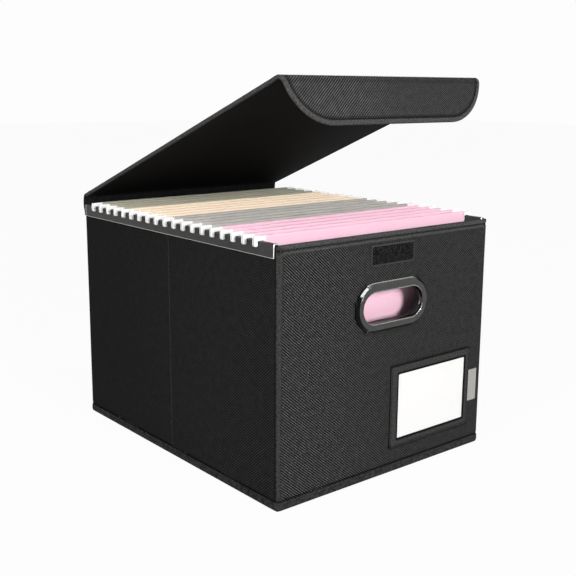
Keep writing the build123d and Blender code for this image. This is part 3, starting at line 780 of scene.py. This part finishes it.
edge_round = 0.00025
bar_levels = ((0.0, edge_round), (edge_round, 0.0), (bar_thick - edge_round, 0.0), (bar_thick, edge_round))
for number in range(folder_count):
    folder_y = first_folder + number * folder_pitch
    body = f"file_{number + 1:02d}"
    tint = list(stocks)[min(number // 5, 3)]
    rings = []
    for x in folder_stations:
        ring = []
        for y, z in folder_section:
            free = np.clip((hem_end - z) / 0.12, 0, 1)
            bow = 0.00035 * free * (0.6 + 0.6 * noise.noise(Vector((x * 9, number * 1.7, z * 6))))
            ring.append((x, folder_y + y + math.copysign(bow, y), z))
        rings.append(ring)
    sheet = lofted(f"{body}_sheet", rings, [stocks[tint]])
    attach(sheet, body)
    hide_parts(f"folder_{number + 1:02d}")
    bars = []
    for near in (folder_y - bar_near - bar_thick, folder_y + bar_near):
        rings = [
            [(x, near + depth, z) for x, z in hanger_outline + hanger_inwards * inset] for depth, inset in bar_levels
        ]
        bars.append(lofted(f"{body}_bar", rings, [white_plastic], smooth=False))
    hanger = joined(f"{body}_bars", bars)
    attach(hanger, body)
    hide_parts(f"hanger_{number + 1:02d}")

# ---------------------------------------------------------------- grip rings
# A grip ring is a plated moulding in the front and the back wall. Its wide bezel lies on the cloth, its
# barrel lines the hole, and a second ring snaps on the barrel inside the box.
hole_reach, hole_radius = 0.0285, 0.0170
barrel_radius, snap_gap, snap_radius = 0.0194, 0.00015, 0.0244
bezel_proud, bezel_slope, hole_turn, snap_thick, barrel_reach = 0.0042, 0.0032, 0.0011, 0.0030, 0.0030
collar_start = -0.0012
rim_width, lip_radius, end_lean = 0.0011, 0.0186, 0.45
barrel_end, snap_end = -wall_thick - barrel_reach, -wall_thick - snap_thick


def stadium(reach, radius):
    """Points round a slot shape in the wall's plane."""
    return arc((reach, 0), radius, -90, 90, 30) + arc((-reach, 0), radius, 90, 270, 30)


bezel_steps = [(bezel_reach, bezel_radius - inset, out) for inset, out in (
    (0, -0.0002), (0, 0.0006), (0.00008, 0.0009), (0.0003, 0.0012), (0.0012, 0.0021), (0.0021, 0.0030),
    (0.0029, bezel_proud - 0.0004), (bezel_slope, bezel_proud - 0.00012), (0.0034, bezel_proud),
    (0.0038, bezel_proud),
)]
bezel_steps += [(0.02775, 0.0218, bezel_proud)]
bezel_steps += [(hole_reach, radius, out) for radius, out in (
    (hole_radius + 0.0015, bezel_proud),
    *arc((hole_radius + hole_turn, bezel_proud - hole_turn), hole_turn, 90, 180, 5),
    (hole_radius, 0.0004), (hole_radius - 0.00012, 0.0), (hole_radius - 0.0004, -0.0003),
    (hole_radius - 0.0004, -0.0008), (hole_radius - 0.0001, collar_start),
    (hole_radius, barrel_end + 0.0006), (hole_radius + 0.0003, barrel_end + 0.0001),
    (hole_radius + 0.0007, barrel_end),
    (barrel_radius - 0.0004, barrel_end), (barrel_radius, barrel_end + 0.0004), (barrel_radius, -0.0002),
)]
snap_steps = [(hole_reach, radius, out) for radius, out in (
    (barrel_radius + snap_gap, -wall_thick), (snap_radius, -wall_thick), (snap_radius, snap_end + 0.0006),
    (snap_radius - 0.0006, snap_end), (barrel_radius + snap_gap, snap_end),
)]
grip_finishes = [
    mottled(
        "gunmetal_plating", (0.064, 0.064, 0.0625), (0.094, 0.094, 0.0915), 140.0, 4.0, (0.04, 0.0002), (0.12, 0.24),
        metal=1.0,
    ),
    mottled(
        "black_moulding", (0.008, 0.009, 0.0085), (0.018, 0.0185, 0.018), 900.0, 3.0, (0.3, 0.0001), (0.55, 0.75),
        shine=0.12,
    ),
    # painted reflection: the ends of the bevel are black, for the dark surroundings they reflect
    mottled(
        "painted_dark_bevel", (0.001, 0.001, 0.00097), (0.002, 0.002, 0.00194), 300.0, 3.0, (0.05, 0.0002), (0.06, 0.14),
        shine=0.09,
    ),
    # painted highlight: brighter plating on the rims and the hole's lip, for the highlights along their rounded edges
    mottled(
        "painted_edge_highlight", (0.14, 0.14, 0.1358), (0.50, 0.50, 0.485), 300.0, 3.0, (0.05, 0.0002), (0.06, 0.14),
        shine=0.09, metal=1.0,
    ),
]
bare_moulding, painted_dark_bevel, painted_edge_highlight = 1, 2, 3
for name, node, face_y, outwards in (
    ("front_grip", "front_handle", -half_depth, -1), ("rear_grip", "rear_handle", half_depth, 1),
):
    parts = []
    for steps in (bezel_steps, snap_steps):
        rings = [
            [(x, face_y + outwards * out, grip_height + z) for x, z in stadium(reach, radius)]
            for reach, radius, out in steps
        ]
        part = lofted(f"{name}_part", rings, grip_finishes, around=True)
        for polygon in part.data.polygons:
            x, y, z = polygon.center
            depth = outwards * (y - face_y)
            from_middle = math.hypot(max(abs(x) - bezel_reach, 0), z - grip_height)
            rim = from_middle > bezel_radius - rim_width and depth > 0.0006
            lip_of_hole = depth > bezel_proud - 0.0002 and from_middle < lip_radius
            if depth < collar_start:
                polygon.material_index = bare_moulding
            # painted reflection: the ends of the bevel get the black finish
            elif from_middle > bezel_radius - bezel_slope and abs(x) - bezel_reach > end_lean * from_middle:
                polygon.material_index = painted_dark_bevel
            # painted highlight: the rims and the lip of the hole get the brighter plating
            elif rim or lip_of_hole:
                polygon.material_index = painted_edge_highlight
        parts.append(part)
    grip = joined(name, parts)
    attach(grip, "root")
    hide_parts(node)

# ---------------------------------------------------------------- lid and flap
# One sleeve of ribbed cloth over two boards makes the lid and its drop flap. It bends where there is no
# board, and a seam runs round it just inside the edge.
hinge_point = np.array((0.0, 0.200, 0.286))
lid_rise, flap_turn = math.radians(21.4), math.radians(16.0)
lid_thick, flap_thick, lid_length, flap_height = 0.0045, 0.0040, 0.415, 0.0530
lid_rear, lid_half, flap_half, flap_corner = 0.0022, 0.159, 0.1465, 0.060
bend_radius = 0.009
bend_turn = math.pi / 2 + lid_rise - flap_turn
bend_reach = bend_radius * math.tan(bend_turn / 2)
lid_flat = lid_length - bend_reach
lid_and_bend = lid_flat + bend_radius * bend_turn
sleeve_end = lid_and_bend + flap_height - bend_reach
lid_run = np.array((0, -math.cos(lid_rise), math.sin(lid_rise)))
lid_normal = np.array((0, math.sin(lid_rise), math.cos(lid_rise)))
flap_run = np.array((0, -math.sin(flap_turn), -math.cos(flap_turn)))
flap_normal = np.array((0, -math.cos(flap_turn), math.sin(flap_turn)))
crease_point = hinge_point + lid_run * lid_length + lid_normal * lid_thick
bend_centre = hinge_point + lid_run * lid_flat + lid_normal * (lid_thick - bend_radius)


def on_sleeve(p, w):
    """Carries sleeve points, measured from the hinge over the lid and down the flap, into the frame."""
    along = p[:, 1]
    turn = np.clip((along - lid_flat) / bend_radius, 0, bend_turn)
    outwards = np.cos(turn)[:, None] * lid_normal + np.sin(turn)[:, None] * lid_run
    spot = bend_centre + outwards * (bend_radius + w)[:, None]
    spot = spot + np.minimum(along - lid_flat, 0)[:, None] * lid_run
    spot = spot + np.maximum(along - lid_and_bend, 0)[:, None] * flap_run
    spot[:, 0] = -p[:, 0]
    return spot


corner_first = math.asin((flap_corner - flap_height) / flap_corner)
corner_middle = flap_half - flap_corner * math.cos(corner_first)
corner_turns = np.linspace(-corner_first, math.pi / 2, 40)
flap_corner_line = np.stack([
    corner_middle + flap_corner * np.cos(corner_turns), sleeve_end - flap_corner + flap_corner * np.sin(corner_turns),
], 1)
rear_corners = rounded_loop([(-lid_half, lid_rear), (lid_half, lid_rear), (0, lid_length)], [0.0020, 0.0020, 0.0010])
rear_corners = rear_corners[rear_corners[:, 1] < 0.1]
sleeve_outline = np.vstack([rear_corners, flap_corner_line, flap_corner_line[::-1] * (-1, 1)])
edge_seam, inner_seam, edge_turn = 0.0060, 0.0080, 0.0021


def sleeve_relief(u, v):
    """Heights of the sleeve: a puffed edge band inside a seam, and soft creases at the bend, with painted shade in
    the seams and at the bend.
    """
    edge = loop_distance(np.stack([u, v], 1), sleeve_outline)
    seam = np.maximum(groove(edge - edge_seam, 0.0018), 0.7 * groove(edge - inner_seam, 0.0007))
    puff = groove(edge - 0.0029, 0.0026)
    bend = groove(v - lid_flat - 0.0005, 0.0011) + 0.6 * groove(v - lid_and_bend + 0.0015, 0.0012)
    ruck = np.array([noise.noise(Vector((a * 160, b * 160, 2.0))) for a, b in zip(u, v)])
    thick = lid_thick - (lid_thick - flap_thick) * np.clip((v - lid_flat) / (lid_and_bend - lid_flat), 0, 1)
    face = -0.00030 * slow_swell(u, v, 31.0) - 0.00060 * seam - 0.00030 * bend
    face += 0.00015 * puff + 0.00016 * ruck * np.clip(1 - edge / 0.007, 0, 1) - rounding(edge, edge_turn)
    back = -thick + 0.00025 * slow_swell(u, v, 37.0) + 0.00035 * seam + rounding(edge, edge_turn)
    band = np.clip((edge_seam - edge) / fade, 0, 1)
    # the last share is painted shade in the seams and at the bend
    return face, back, band, np.clip(1.1 * seam + 0.55 * bend, 0, 1)


# The strengths of the two sets of ribs, changing from left to right over the lid and flap, are painted for how the
# light picks them out.
lid_cloth = ribbed_cloth(
    "lid_cloth", (0.0020, 0.0021, 0.0020), (0.262, 0.263, 0.259), (0.055, 0.0555, 0.0542),
    (0.42, 0.10), (0.15, 0.78), (-0.06, 0.08), 0.00232,
)
sleeve_rings = [
    0.0003, 0.0007, 0.0013, 0.0021, 0.0032, 0.0044, 0.0051, 0.0056, 0.0060, 0.0064, 0.0069, 0.0074, 0.0080, 0.0086,
    0.0097,
]
sleeve = sewn_panel(
    "lid_sleeve", sleeve_outline, [], on_sleeve, sleeve_relief, sleeve_rings, 0.0032, (lid_cloth, lining),
    wrap=0.0026, edge_step=0.0022,
)
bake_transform(sleeve)
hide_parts("lid_cover", "flap_cover")

# ---------------------------------------------------------------- hinge
# A strip of the same cloth is the hinge, painted much darker for the shade under the lid. It is sewn to the
# lid's rear edge and to the back wall, and hangs a little loose between the two.
hinge_half, hinge_low, hinge_cloth_thick, sewn_y = 0.1576, 0.2632, 0.0009, 0.19865
strip_above = lid_thick - 0.0001


def lid_spot(along, above):
    """A point of the lid's middle plane section, as y and z."""
    spot = hinge_point + lid_run * along + lid_normal * above
    return float(spot[1]), float(spot[2])


strip_path = [lid_spot(a, strip_above) for a in (0.0125, 0.0105, 0.0085, 0.0065, 0.0048, 0.0034)]
strip_path += [
    (0.19945, 0.29065), (0.20005, 0.28985), (0.20020, 0.28870), (0.19985, 0.28640), (0.19935, 0.28400),
    (0.19895, 0.28150), (0.19872, 0.27900),
]
strip_path += [(sewn_y, z) for z in (0.27650, 0.27200, 0.26800, hinge_low)]
strip_section = thick_section(strip_path, hinge_cloth_thick)
strip_rings = []
for x in [-hinge_half, *np.linspace(-hinge_half + 0.003, hinge_half - 0.003, 60), hinge_half]:
    sunk = 0.0012 * np.clip((abs(x) - 0.1500) / 0.0070, 0, 1) ** 2
    ring = []
    for y, z in strip_section:
        loose = 0.0036 * math.sin(math.pi * np.clip((0.2895 - z) / 0.0245, 0, 1)) ** 1.5
        y = y + loose * (0.85 + 0.3 * noise.noise(Vector((x * 14, 2.5, z * 30))))
        if z > 0.2870:
            y, z = y - sunk * lid_normal[1], z - sunk * lid_normal[2]
        ring.append((x, y + 0.00012 * noise.noise(Vector((x * 90, z * 90, 9.0))), z))
    strip_rings.append(ring)
# the hinge cloth's near-black colour is painted shade from the lid above
hinge_strip = lofted("hinge_strip", strip_rings, [hem_cloth("shaded_hinge_cloth", (0.009, 0.0091, 0.009), 0.5)])
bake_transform(hinge_strip)
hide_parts("lid_hinge_strip")

# ---------------------------------------------------------------- hook and loop tapes
# A strip of loop tape is sewn to the front wall and a strip of hook tape to the inside of the flap, with
# plain woven edges outside the pile.
tape_base, selvedge, tape_inset = 0.00055, 0.0016, 0.0014


def tape_relief(u, v):
    """Heights of a tape: a bare woven edge with a seam, round a field for the pile."""
    edge = frame_gap(u, v, *tape_box)
    seam = groove(edge - tape_inset, 0.0006)
    face = np.full(len(u), tape_base) - 0.0002 * seam - rounding(edge, 0.0003)
    return face, np.full(len(u), -0.0003), np.clip((selvedge - edge) / 0.0002, 0, 1), 0.5 * seam


nylon = Finish("tape_cloth", on_pattern=True)
nylon_ribs = nylon.node(
    "ShaderNodeTexWave", {"Vector": nylon.where, "Scale": 260.0, "Distortion": 1.5, "Detail": 2.0},
)
nylon_weave = nylon.maths("MULTIPLY", nylon_ribs.outputs["Fac"], nylon.noise(1500.0, 3.0))
nylon_ground = nylon.mix(nylon.mark("pressed"), (0.002, 0.002, 0.0021), (0.052, 0.052, 0.051))
nylon_colour = nylon.scaled(nylon_ground, nylon.level(nylon_weave, 0, 1, 0.6, 1.7))
tape_cloth = nylon.done(nylon_colour, nylon_weave, 0.6, 0.0002, 0.7, shine=0.08)


def yarn_stuff(name, colour, tip, grain):
    """Black nylon or polyester yarn, paler in flecks."""
    return mottled(name, colour, tip, grain, 2.0, (0.2, 0.0001), (0.45, 0.7), edges=(0.38, 0.62), shine=0.08)


def new_tree(name, sockets):
    """A geometry tree with its inputs, and the outputs that hand them on inside it."""
    tree = bpy.data.node_groups.new(name, "GeometryNodeTree")
    for title, kind in sockets.items():
        tree.interface.new_socket(title, in_out="INPUT", socket_type="NodeSocket" + kind)
    tree.interface.new_socket("Result", in_out="OUTPUT", socket_type="NodeSocketGeometry")
    return tree, add_node(tree, "NodeGroupInput").outputs


def bent_yarn(tree, first, peak, last, bends, radius, sides):
    """A short piece of yarn, bent between two ends that are given by their reach and height."""
    spots = [
        add_node(tree, "ShaderNodeCombineXYZ", {"X": x, "Z": z}).outputs[0] for x, z in (first, (0.0, peak), last)
    ]
    bow = add_node(
        tree, "GeometryNodeCurveQuadraticBezier",
        {"Resolution": bends, "Start": spots[0], "Middle": spots[1], "End": spots[2]},
    )
    ring = add_node(tree, "GeometryNodeCurvePrimitiveCircle", {"Resolution": sides, "Radius": radius})
    return add_node(
        tree, "GeometryNodeCurveToMesh",
        {"Curve": bow.outputs[0], "Profile Curve": ring.outputs[0], "Fill Caps": True},
    ).outputs[0]


def any_way(tree, reach, seed):
    """A direction of its own for every piece."""
    inputs = {0: (-reach,) * 3, 1: (reach,) * 3, "Seed": seed}
    return add_node(tree, "FunctionNodeRandomValue", inputs, data_type="FLOAT_VECTOR").outputs[0]


def strayed(tree, way, reach, seed):
    """A direction that strays a little from piece to piece."""
    return add_node(tree, "ShaderNodeVectorMath", {0: way, 1: any_way(tree, reach, seed)}, operation="ADD").outputs[0]


def up_way(tree):
    """The up direction that the points carry."""
    return add_node(tree, "GeometryNodeInputNamedAttribute", {"Name": "up"}, data_type="FLOAT_VECTOR").outputs[0]


def set_out(tree, points, piece, upwards, sideways, stuff):
    """Sets a piece on every point, upright and turned sideways, as plain mesh of one material."""
    turned = add_node(
        tree, "FunctionNodeAxesToRotation", {"Primary Axis": upwards, "Secondary Axis": sideways},
        primary_axis="Z", secondary_axis="X",
    )
    grown = add_node(
        tree, "GeometryNodeInstanceOnPoints", {"Points": points, "Instance": piece, "Rotation": turned.outputs[0]},
    )
    real = add_node(tree, "GeometryNodeRealizeInstances", {"Geometry": grown.outputs[0]})
    dressed = add_node(tree, "GeometryNodeSetMaterial", {"Geometry": real.outputs[0], "Material": stuff})
    add_node(tree, "NodeGroupOutput", {0: dressed.outputs[0]})


def baked(tree, name, values, source):
    """Runs a node tree once over a source mesh and returns its result as a plain mesh object."""
    carrier = in_scene(name + "_carrier", source)
    modifier = carrier.modifiers.new("grow", "NODES")
    modifier.node_group = tree
    keys = {item.name: item.identifier for item in tree.interface.items_tree if item.in_out == "INPUT"}
    for title, value in values.items():
        modifier[keys[title]] = value
    bpy.context.view_layer.update()
    held = carrier.evaluated_get(bpy.context.evaluated_depsgraph_get())
    mesh = bpy.data.meshes.new_from_object(held)
    bpy.data.objects.remove(carrier)
    return in_scene(name, mesh)


def spot_mesh(name, spots, ups, edges=()):
    """A mesh of points that carry their up direction, alone or joined in lines."""
    mesh = bpy.data.meshes.new(name)
    mesh.from_pydata(np.array(spots).tolist(), edges, [])
    mesh.attributes.new("up", "FLOAT_VECTOR", "POINT").data.foreach_set("vector", np.array(ups, np.float32).ravel())
    return mesh


pile, given = new_tree("pile", {
    "Spots": "Geometry", "Height": "Float", "Yarn Radius": "Float", "Spread": "Float", "Hooked": "Float",
    "Yarn": "Material",
})
yarn_foot = (maths(pile, "MULTIPLY", given["Spread"], -0.5), 0.0)
yarn_tip = (maths(pile, "MULTIPLY", given["Spread"], 0.5), maths(pile, "MULTIPLY", given["Height"], given["Hooked"]))
yarn_peak = maths(pile, "MULTIPLY", given["Height"], 2.0)
yarn = bent_yarn(pile, yarn_foot, yarn_peak, yarn_tip, 6, given["Yarn Radius"], 4)
tuft_spots = add_node(pile, "GeometryNodeMeshToPoints", {"Mesh": given["Spots"]}).outputs[0]
set_out(pile, tuft_spots, yarn, strayed(pile, up_way(pile), 0.45, 7), any_way(pile, 1.0, 11), given["Yarn"])
tape_yarn = yarn_stuff("tape_yarn", (0.001, 0.001, 0.0011), (0.046, 0.046, 0.0455), 430.0)
dice = random.Random(5)
tape_middle = (tape_low + tape_high) / 2
hook_drop = hinge_point[2] + lid_thick - tape_middle


def on_flap_inside(p, w):
    """Carries tape points onto the inner face of the flap."""
    spot = crease_point + (hook_drop + p[:, 1] - tape_middle)[:, None] * flap_run
    spot = spot - (flap_thick + w - 0.0001)[:, None] * flap_normal
    spot[:, 0] = p[:, 0]
    return spot


tape_outline = rounded_box(*tape_box, 0.0006)
for name, node, body, place, direction, step, height, radius, spread, hooked in (
    ("loop_tape", "front_loop_tape", "root", on_front, (0, -1, 0), 0.00088, 0.00058, 0.00011, 0.0008, 0.0),
    (
        "hook_tape", "flap_hook_tape", "flap", on_flap_inside, tuple(-flap_normal), 0.0015, 0.00050, 0.00010,
        0.0005, 1.0,
    ),
):
    base = sewn_panel(
        name, tape_outline, [], place, tape_relief, [0.0003, 0.0009, 0.0014, 0.0019], 0.003, (tape_cloth, tape_cloth),
    )
    spots = [
        (u + dice.uniform(-0.3, 0.3) * step, v + dice.uniform(-0.3, 0.3) * step)
        for u in np.arange(-tape_half + selvedge + 0.0006, tape_half - selvedge - 0.0005, step)
        for v in np.arange(tape_low + selvedge + 0.0006, tape_high - selvedge - 0.0005, step)
    ]
    placed = place(np.array(spots), np.full(len(spots), tape_base - 0.00008))
    source = spot_mesh(name + "_spots", placed, [direction] * len(spots))
    values = {"Height": height, "Yarn Radius": radius, "Spread": spread, "Hooked": hooked, "Yarn": tape_yarn}
    tufts = baked(pile, name + "_pile", values, source)
    for piece in (base, tufts):
        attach(piece, body)
    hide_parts(node)

# ---------------------------------------------------------------- label pocket, card and tag
# The label pocket is a cloth frame sewn to the front wall on three sides. A blank card slides in from
# above, and a small woven tag is caught in the seam beside it.
window_low = 0.0390
window_box = (0.01475, 0.12575, window_low, 0.1140)
slot_left, slot_right, slot_low = 0.0083, 0.1322, 0.0339
lip, pocket_thick, card_room, pocket_inset = 0.0025, 0.0018, 0.00078, 0.0022


def pocket_relief(u, v):
    """Heights of the pocket frame: a puffed band with a seam, and a lower lip round the window, with painted shade in
    the seam, round the window and along the frame's edge.
    """
    edge, window = frame_gap(u, v, *pocket_box), frame_gap(u, v, *window_box)
    seam = groove(edge - pocket_inset, 0.0007) * (v < pocket_high - 0.004)
    low_band = np.clip((window_low - v) / 0.002, 0, 1)
    ruck = np.array([noise.noise(Vector((a * 130 + b * 60, b * 210, 4.0))) for a, b in zip(u, v)])
    drop = np.clip((lip + fade - window) / fade, 0, 1)
    drop = drop * drop * (3 - 2 * drop)
    face = pocket_thick - 0.00015 - 0.0004 * seam + 0.00028 * ruck * low_band - 0.0006 * drop
    face = face - rounding(edge, 0.0009) - rounding(window, 0.00025)
    in_slot = (u > slot_left) & (u < slot_right) & (v > slot_low)
    back = np.minimum(np.where(in_slot, card_room, -0.0003), face - 0.0002)
    # painted shadow along the frame's edge, where its side stands off the wall
    turned = np.clip((0.0007 - edge) / 0.0005, 0, 1)
    return face, back, np.clip(1 - drop, 0, 1), np.clip(0.8 * seam + 0.65 * drop + 0.9 * turned, 0, 1)


pocket_cloth = ribbed_cloth(
    "pocket_cloth", (0.008, 0.0081, 0.008), (0.05, 0.0505, 0.0495), (0.036, 0.0363, 0.0355), (0.5, 0.5), (0.5, 0.5),
)
pocket = sewn_panel(
    "label_pocket", rounded_box(*pocket_box, 0.0012), [rounded_box(*window_box, 0.0008)], on_front, pocket_relief,
    [0.0003, 0.0009, 0.0022, 0.0031, 0.0045], 0.0014, (pocket_cloth, lining), edge_step=0.0020,
)
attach(pocket, "root")
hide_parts("label_pocket")

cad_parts["label_card"].data.materials.clear()
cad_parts["label_card"].data.materials.append(mottled(
    "white_stock", (0.695, 0.69, 0.68), (0.76, 0.755, 0.74), 620.0, 4.0, (0.15, 0.0001), 0.6, shine=0.3,
))
tag_left, tag_right = 0.1350, 0.1505
tag_box = (tag_left, tag_right, 0.0570, 0.0960)


def tag_relief(u, v):
    """Heights of the tag, which stands a little off the wall along its free edge."""
    lift = 0.0002 * np.sin(np.clip((u - tag_left) / (tag_right - tag_left), 0, 1) * math.pi)
    face = 0.00058 + lift - rounding(frame_gap(u, v, *tag_box), 0.0002)
    return face, np.full(len(u), -0.0003), np.zeros(len(u)), np.zeros(len(u))


satin = Finish("tag_satin", on_pattern=True)
weft, warp = (
    satin.node("ShaderNodeTexWave", {"Vector": satin.where, "Scale": scale, "Distortion": 0.6}, bands_direction=way)
    for scale, way in ((620.0, "Y"), (480.0, "X"))
)
satin_weave = satin.maths("MULTIPLY", weft.outputs["Fac"], warp.outputs["Fac"])
satin_colour = satin.mix(satin_weave, (0.275, 0.265, 0.245), (0.40, 0.385, 0.36))
tag_satin = satin.done(satin_colour, satin_weave, 0.5, 0.00015, 0.5)
tag = sewn_panel(
    "side_tag", rounded_box(*tag_box, 0.0004), [], on_front, tag_relief, [0.0002, 0.0005, 0.0010, 0.0016], 0.002,
    (tag_satin, tag_satin), edge_step=0.0020,
)
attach(tag, "root")
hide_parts("side_tag")

# ---------------------------------------------------------------- seams
# Every seam is a row of lockstitches in black polyester thread, pulled down into the cloth. It shows as
# short rounded beads of thread that lie in a groove, on both faces of what it joins.
stitches, given = new_tree("seam_stitches", {
    "Seams": "Geometry", "Pitch": "Float", "Stitch Length": "Float", "Thread Radius": "Float", "Thread": "Material",
})
sunk = maths(stitches, "MULTIPLY", given["Thread Radius"], -0.9)
stitch_ends = [(maths(stitches, "MULTIPLY", given["Stitch Length"], half), sunk) for half in (-0.5, 0.5)]
stitch_peak = maths(stitches, "MULTIPLY", given["Thread Radius"], 2.6)
stitch = bent_yarn(stitches, stitch_ends[0], stitch_peak, stitch_ends[1], 4, given["Thread Radius"], 5)
seam_curves = add_node(stitches, "GeometryNodeMeshToCurve", {"Mesh": given["Seams"]}).outputs[0]
needle_steps = add_node(
    stitches, "GeometryNodeResampleCurve", {"Curve": seam_curves, "Length": given["Pitch"]}, mode="LENGTH",
).outputs[0]
heading = strayed(stitches, add_node(stitches, "GeometryNodeInputTangent").outputs[0], 0.10, 3)
set_out(stitches, needle_steps, stitch, up_way(stitches), heading, given["Thread"])


def sewn_row(place, relief, points, under=False):
    """Places and up directions of a seam that runs over a panel's pattern, on its face or on its back."""
    points = np.array(points, float)
    heights = relief(points[:, 0], points[:, 1])[1 if under else 0]
    spots = place(points, heights)
    ups = place(points, heights + 0.001) - spots
    ups /= np.linalg.norm(ups, axis=1)[:, None]
    return spots, -ups if under else ups


row_step = 0.004


def level_row(v, reach):
    """Pattern points from side to side at one height."""
    across = np.linspace(-reach, reach, int(2 * reach / row_step) + 1)
    return np.stack([across, np.full(len(across), v)], 1)


def closed(row):
    """A row that ends where it starts."""
    return np.vstack([row, row[:1]])


root_rows = []
for front, place in ((True, on_front), (False, on_back)):
    relief = end_wall_relief(front)
    for drop in (hem_depth, second_seam):
        for under in (False, True):
            root_rows.append(sewn_row(place, relief, level_row(wall_height - drop, half_width - 0.009), under))
    rise = np.linspace(binding_top + 0.004, wall_height - 0.013, 70)
    for side in (-1, 1):
        line = np.stack([side * (half_width - 0.0008 - rolled_width(rise)), rise], 1)
        root_rows.append(sewn_row(place, relief, line))
thread_out, thread_height = 0.00125, 0.0072
binding_seam = np.column_stack([binding_line + binding_out * thread_out, np.full(len(binding_line), thread_height)])
binding_ups = np.column_stack([binding_out, np.zeros(len(binding_line))])
root_rows.append((closed(binding_seam), closed(binding_ups)))
seam_left, seam_right, seam_low = pocket_left + pocket_inset, pocket_right - pocket_inset, pocket_low + pocket_inset
seam_end = pocket_high - 0.003
pocket_row = [(seam_left, v) for v in np.linspace(seam_end, seam_low, 24)]
pocket_row += [(u, seam_low) for u in np.linspace(seam_left, seam_right, 34)[1:]]
pocket_row += [(seam_right, v) for v in np.linspace(seam_low, seam_end, 24)[1:]]
root_rows.append(sewn_row(on_front, pocket_relief, pocket_row))
seam_half, seam_low, seam_high = tape_half - tape_inset, tape_low + tape_inset, tape_high - tape_inset
tape_corners = [(-seam_half, seam_low), (seam_half, seam_low), (seam_half, seam_high), (-seam_half, seam_high)]
tape_row = closed(spaced(np.array(tape_corners), row_step))
root_rows.append(sewn_row(on_front, tape_relief, tape_row))
strip_row = level_row(0.0, hinge_half - 0.003)[:, 0]
strip_y = sewn_y + hinge_cloth_thick / 2
root_rows.append((
    np.array([(x, strip_y, hinge_low + 0.0022) for x in strip_row]), np.array([(0.0, 1.0, 0.0)] * len(strip_row)),
))
rear_spot = lid_spot(0.0112, strip_above + hinge_cloth_thick / 2)
lid_rows = [(np.array([(x, *rear_spot) for x in strip_row]), np.array([lid_normal] * len(strip_row)))]
turns = spaced(sleeve_outline, 0.0015)
edge_row = turns + inwards(turns) * edge_seam
edge_row = closed(edge_row[loop_distance(edge_row, turns) > edge_seam * 0.985])
sleeve_rows = [sewn_row(on_sleeve, sleeve_relief, edge_row, under) for under in (False, True)]
flap_rows = [sewn_row(on_flap_inside, tape_relief, tape_row)]
thread = yarn_stuff("black_thread", (0.008, 0.008, 0.008), (0.026, 0.026, 0.0255), 800.0)
for name, body, slot, rows in (
    ("box_stitches", "root", "box_fabric", root_rows), ("hinge_stitches", "lid", "lid_fabric", lid_rows),
    ("sleeve_stitches", "both", "lid_fabric", sleeve_rows), ("hook_tape_stitches", "flap", "hook_loop", flap_rows),
):
    edges, start = [], 0
    for spots, _ in rows:
        edges += [(start + i, start + i + 1) for i in range(len(spots) - 1)]
        start += len(spots)
    spots, ups = (np.vstack([row[k] for row in rows]) for k in (0, 1))
    lines = spot_mesh(name + "_lines", spots, ups, edges)
    values = {"Pitch": 0.0031, "Stitch Length": 0.0026, "Thread Radius": 0.00022, "Thread": thread}
    row = baked(stitches, name, values, lines)
    if body == "both":
        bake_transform(row)
    else:
        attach(row, body)
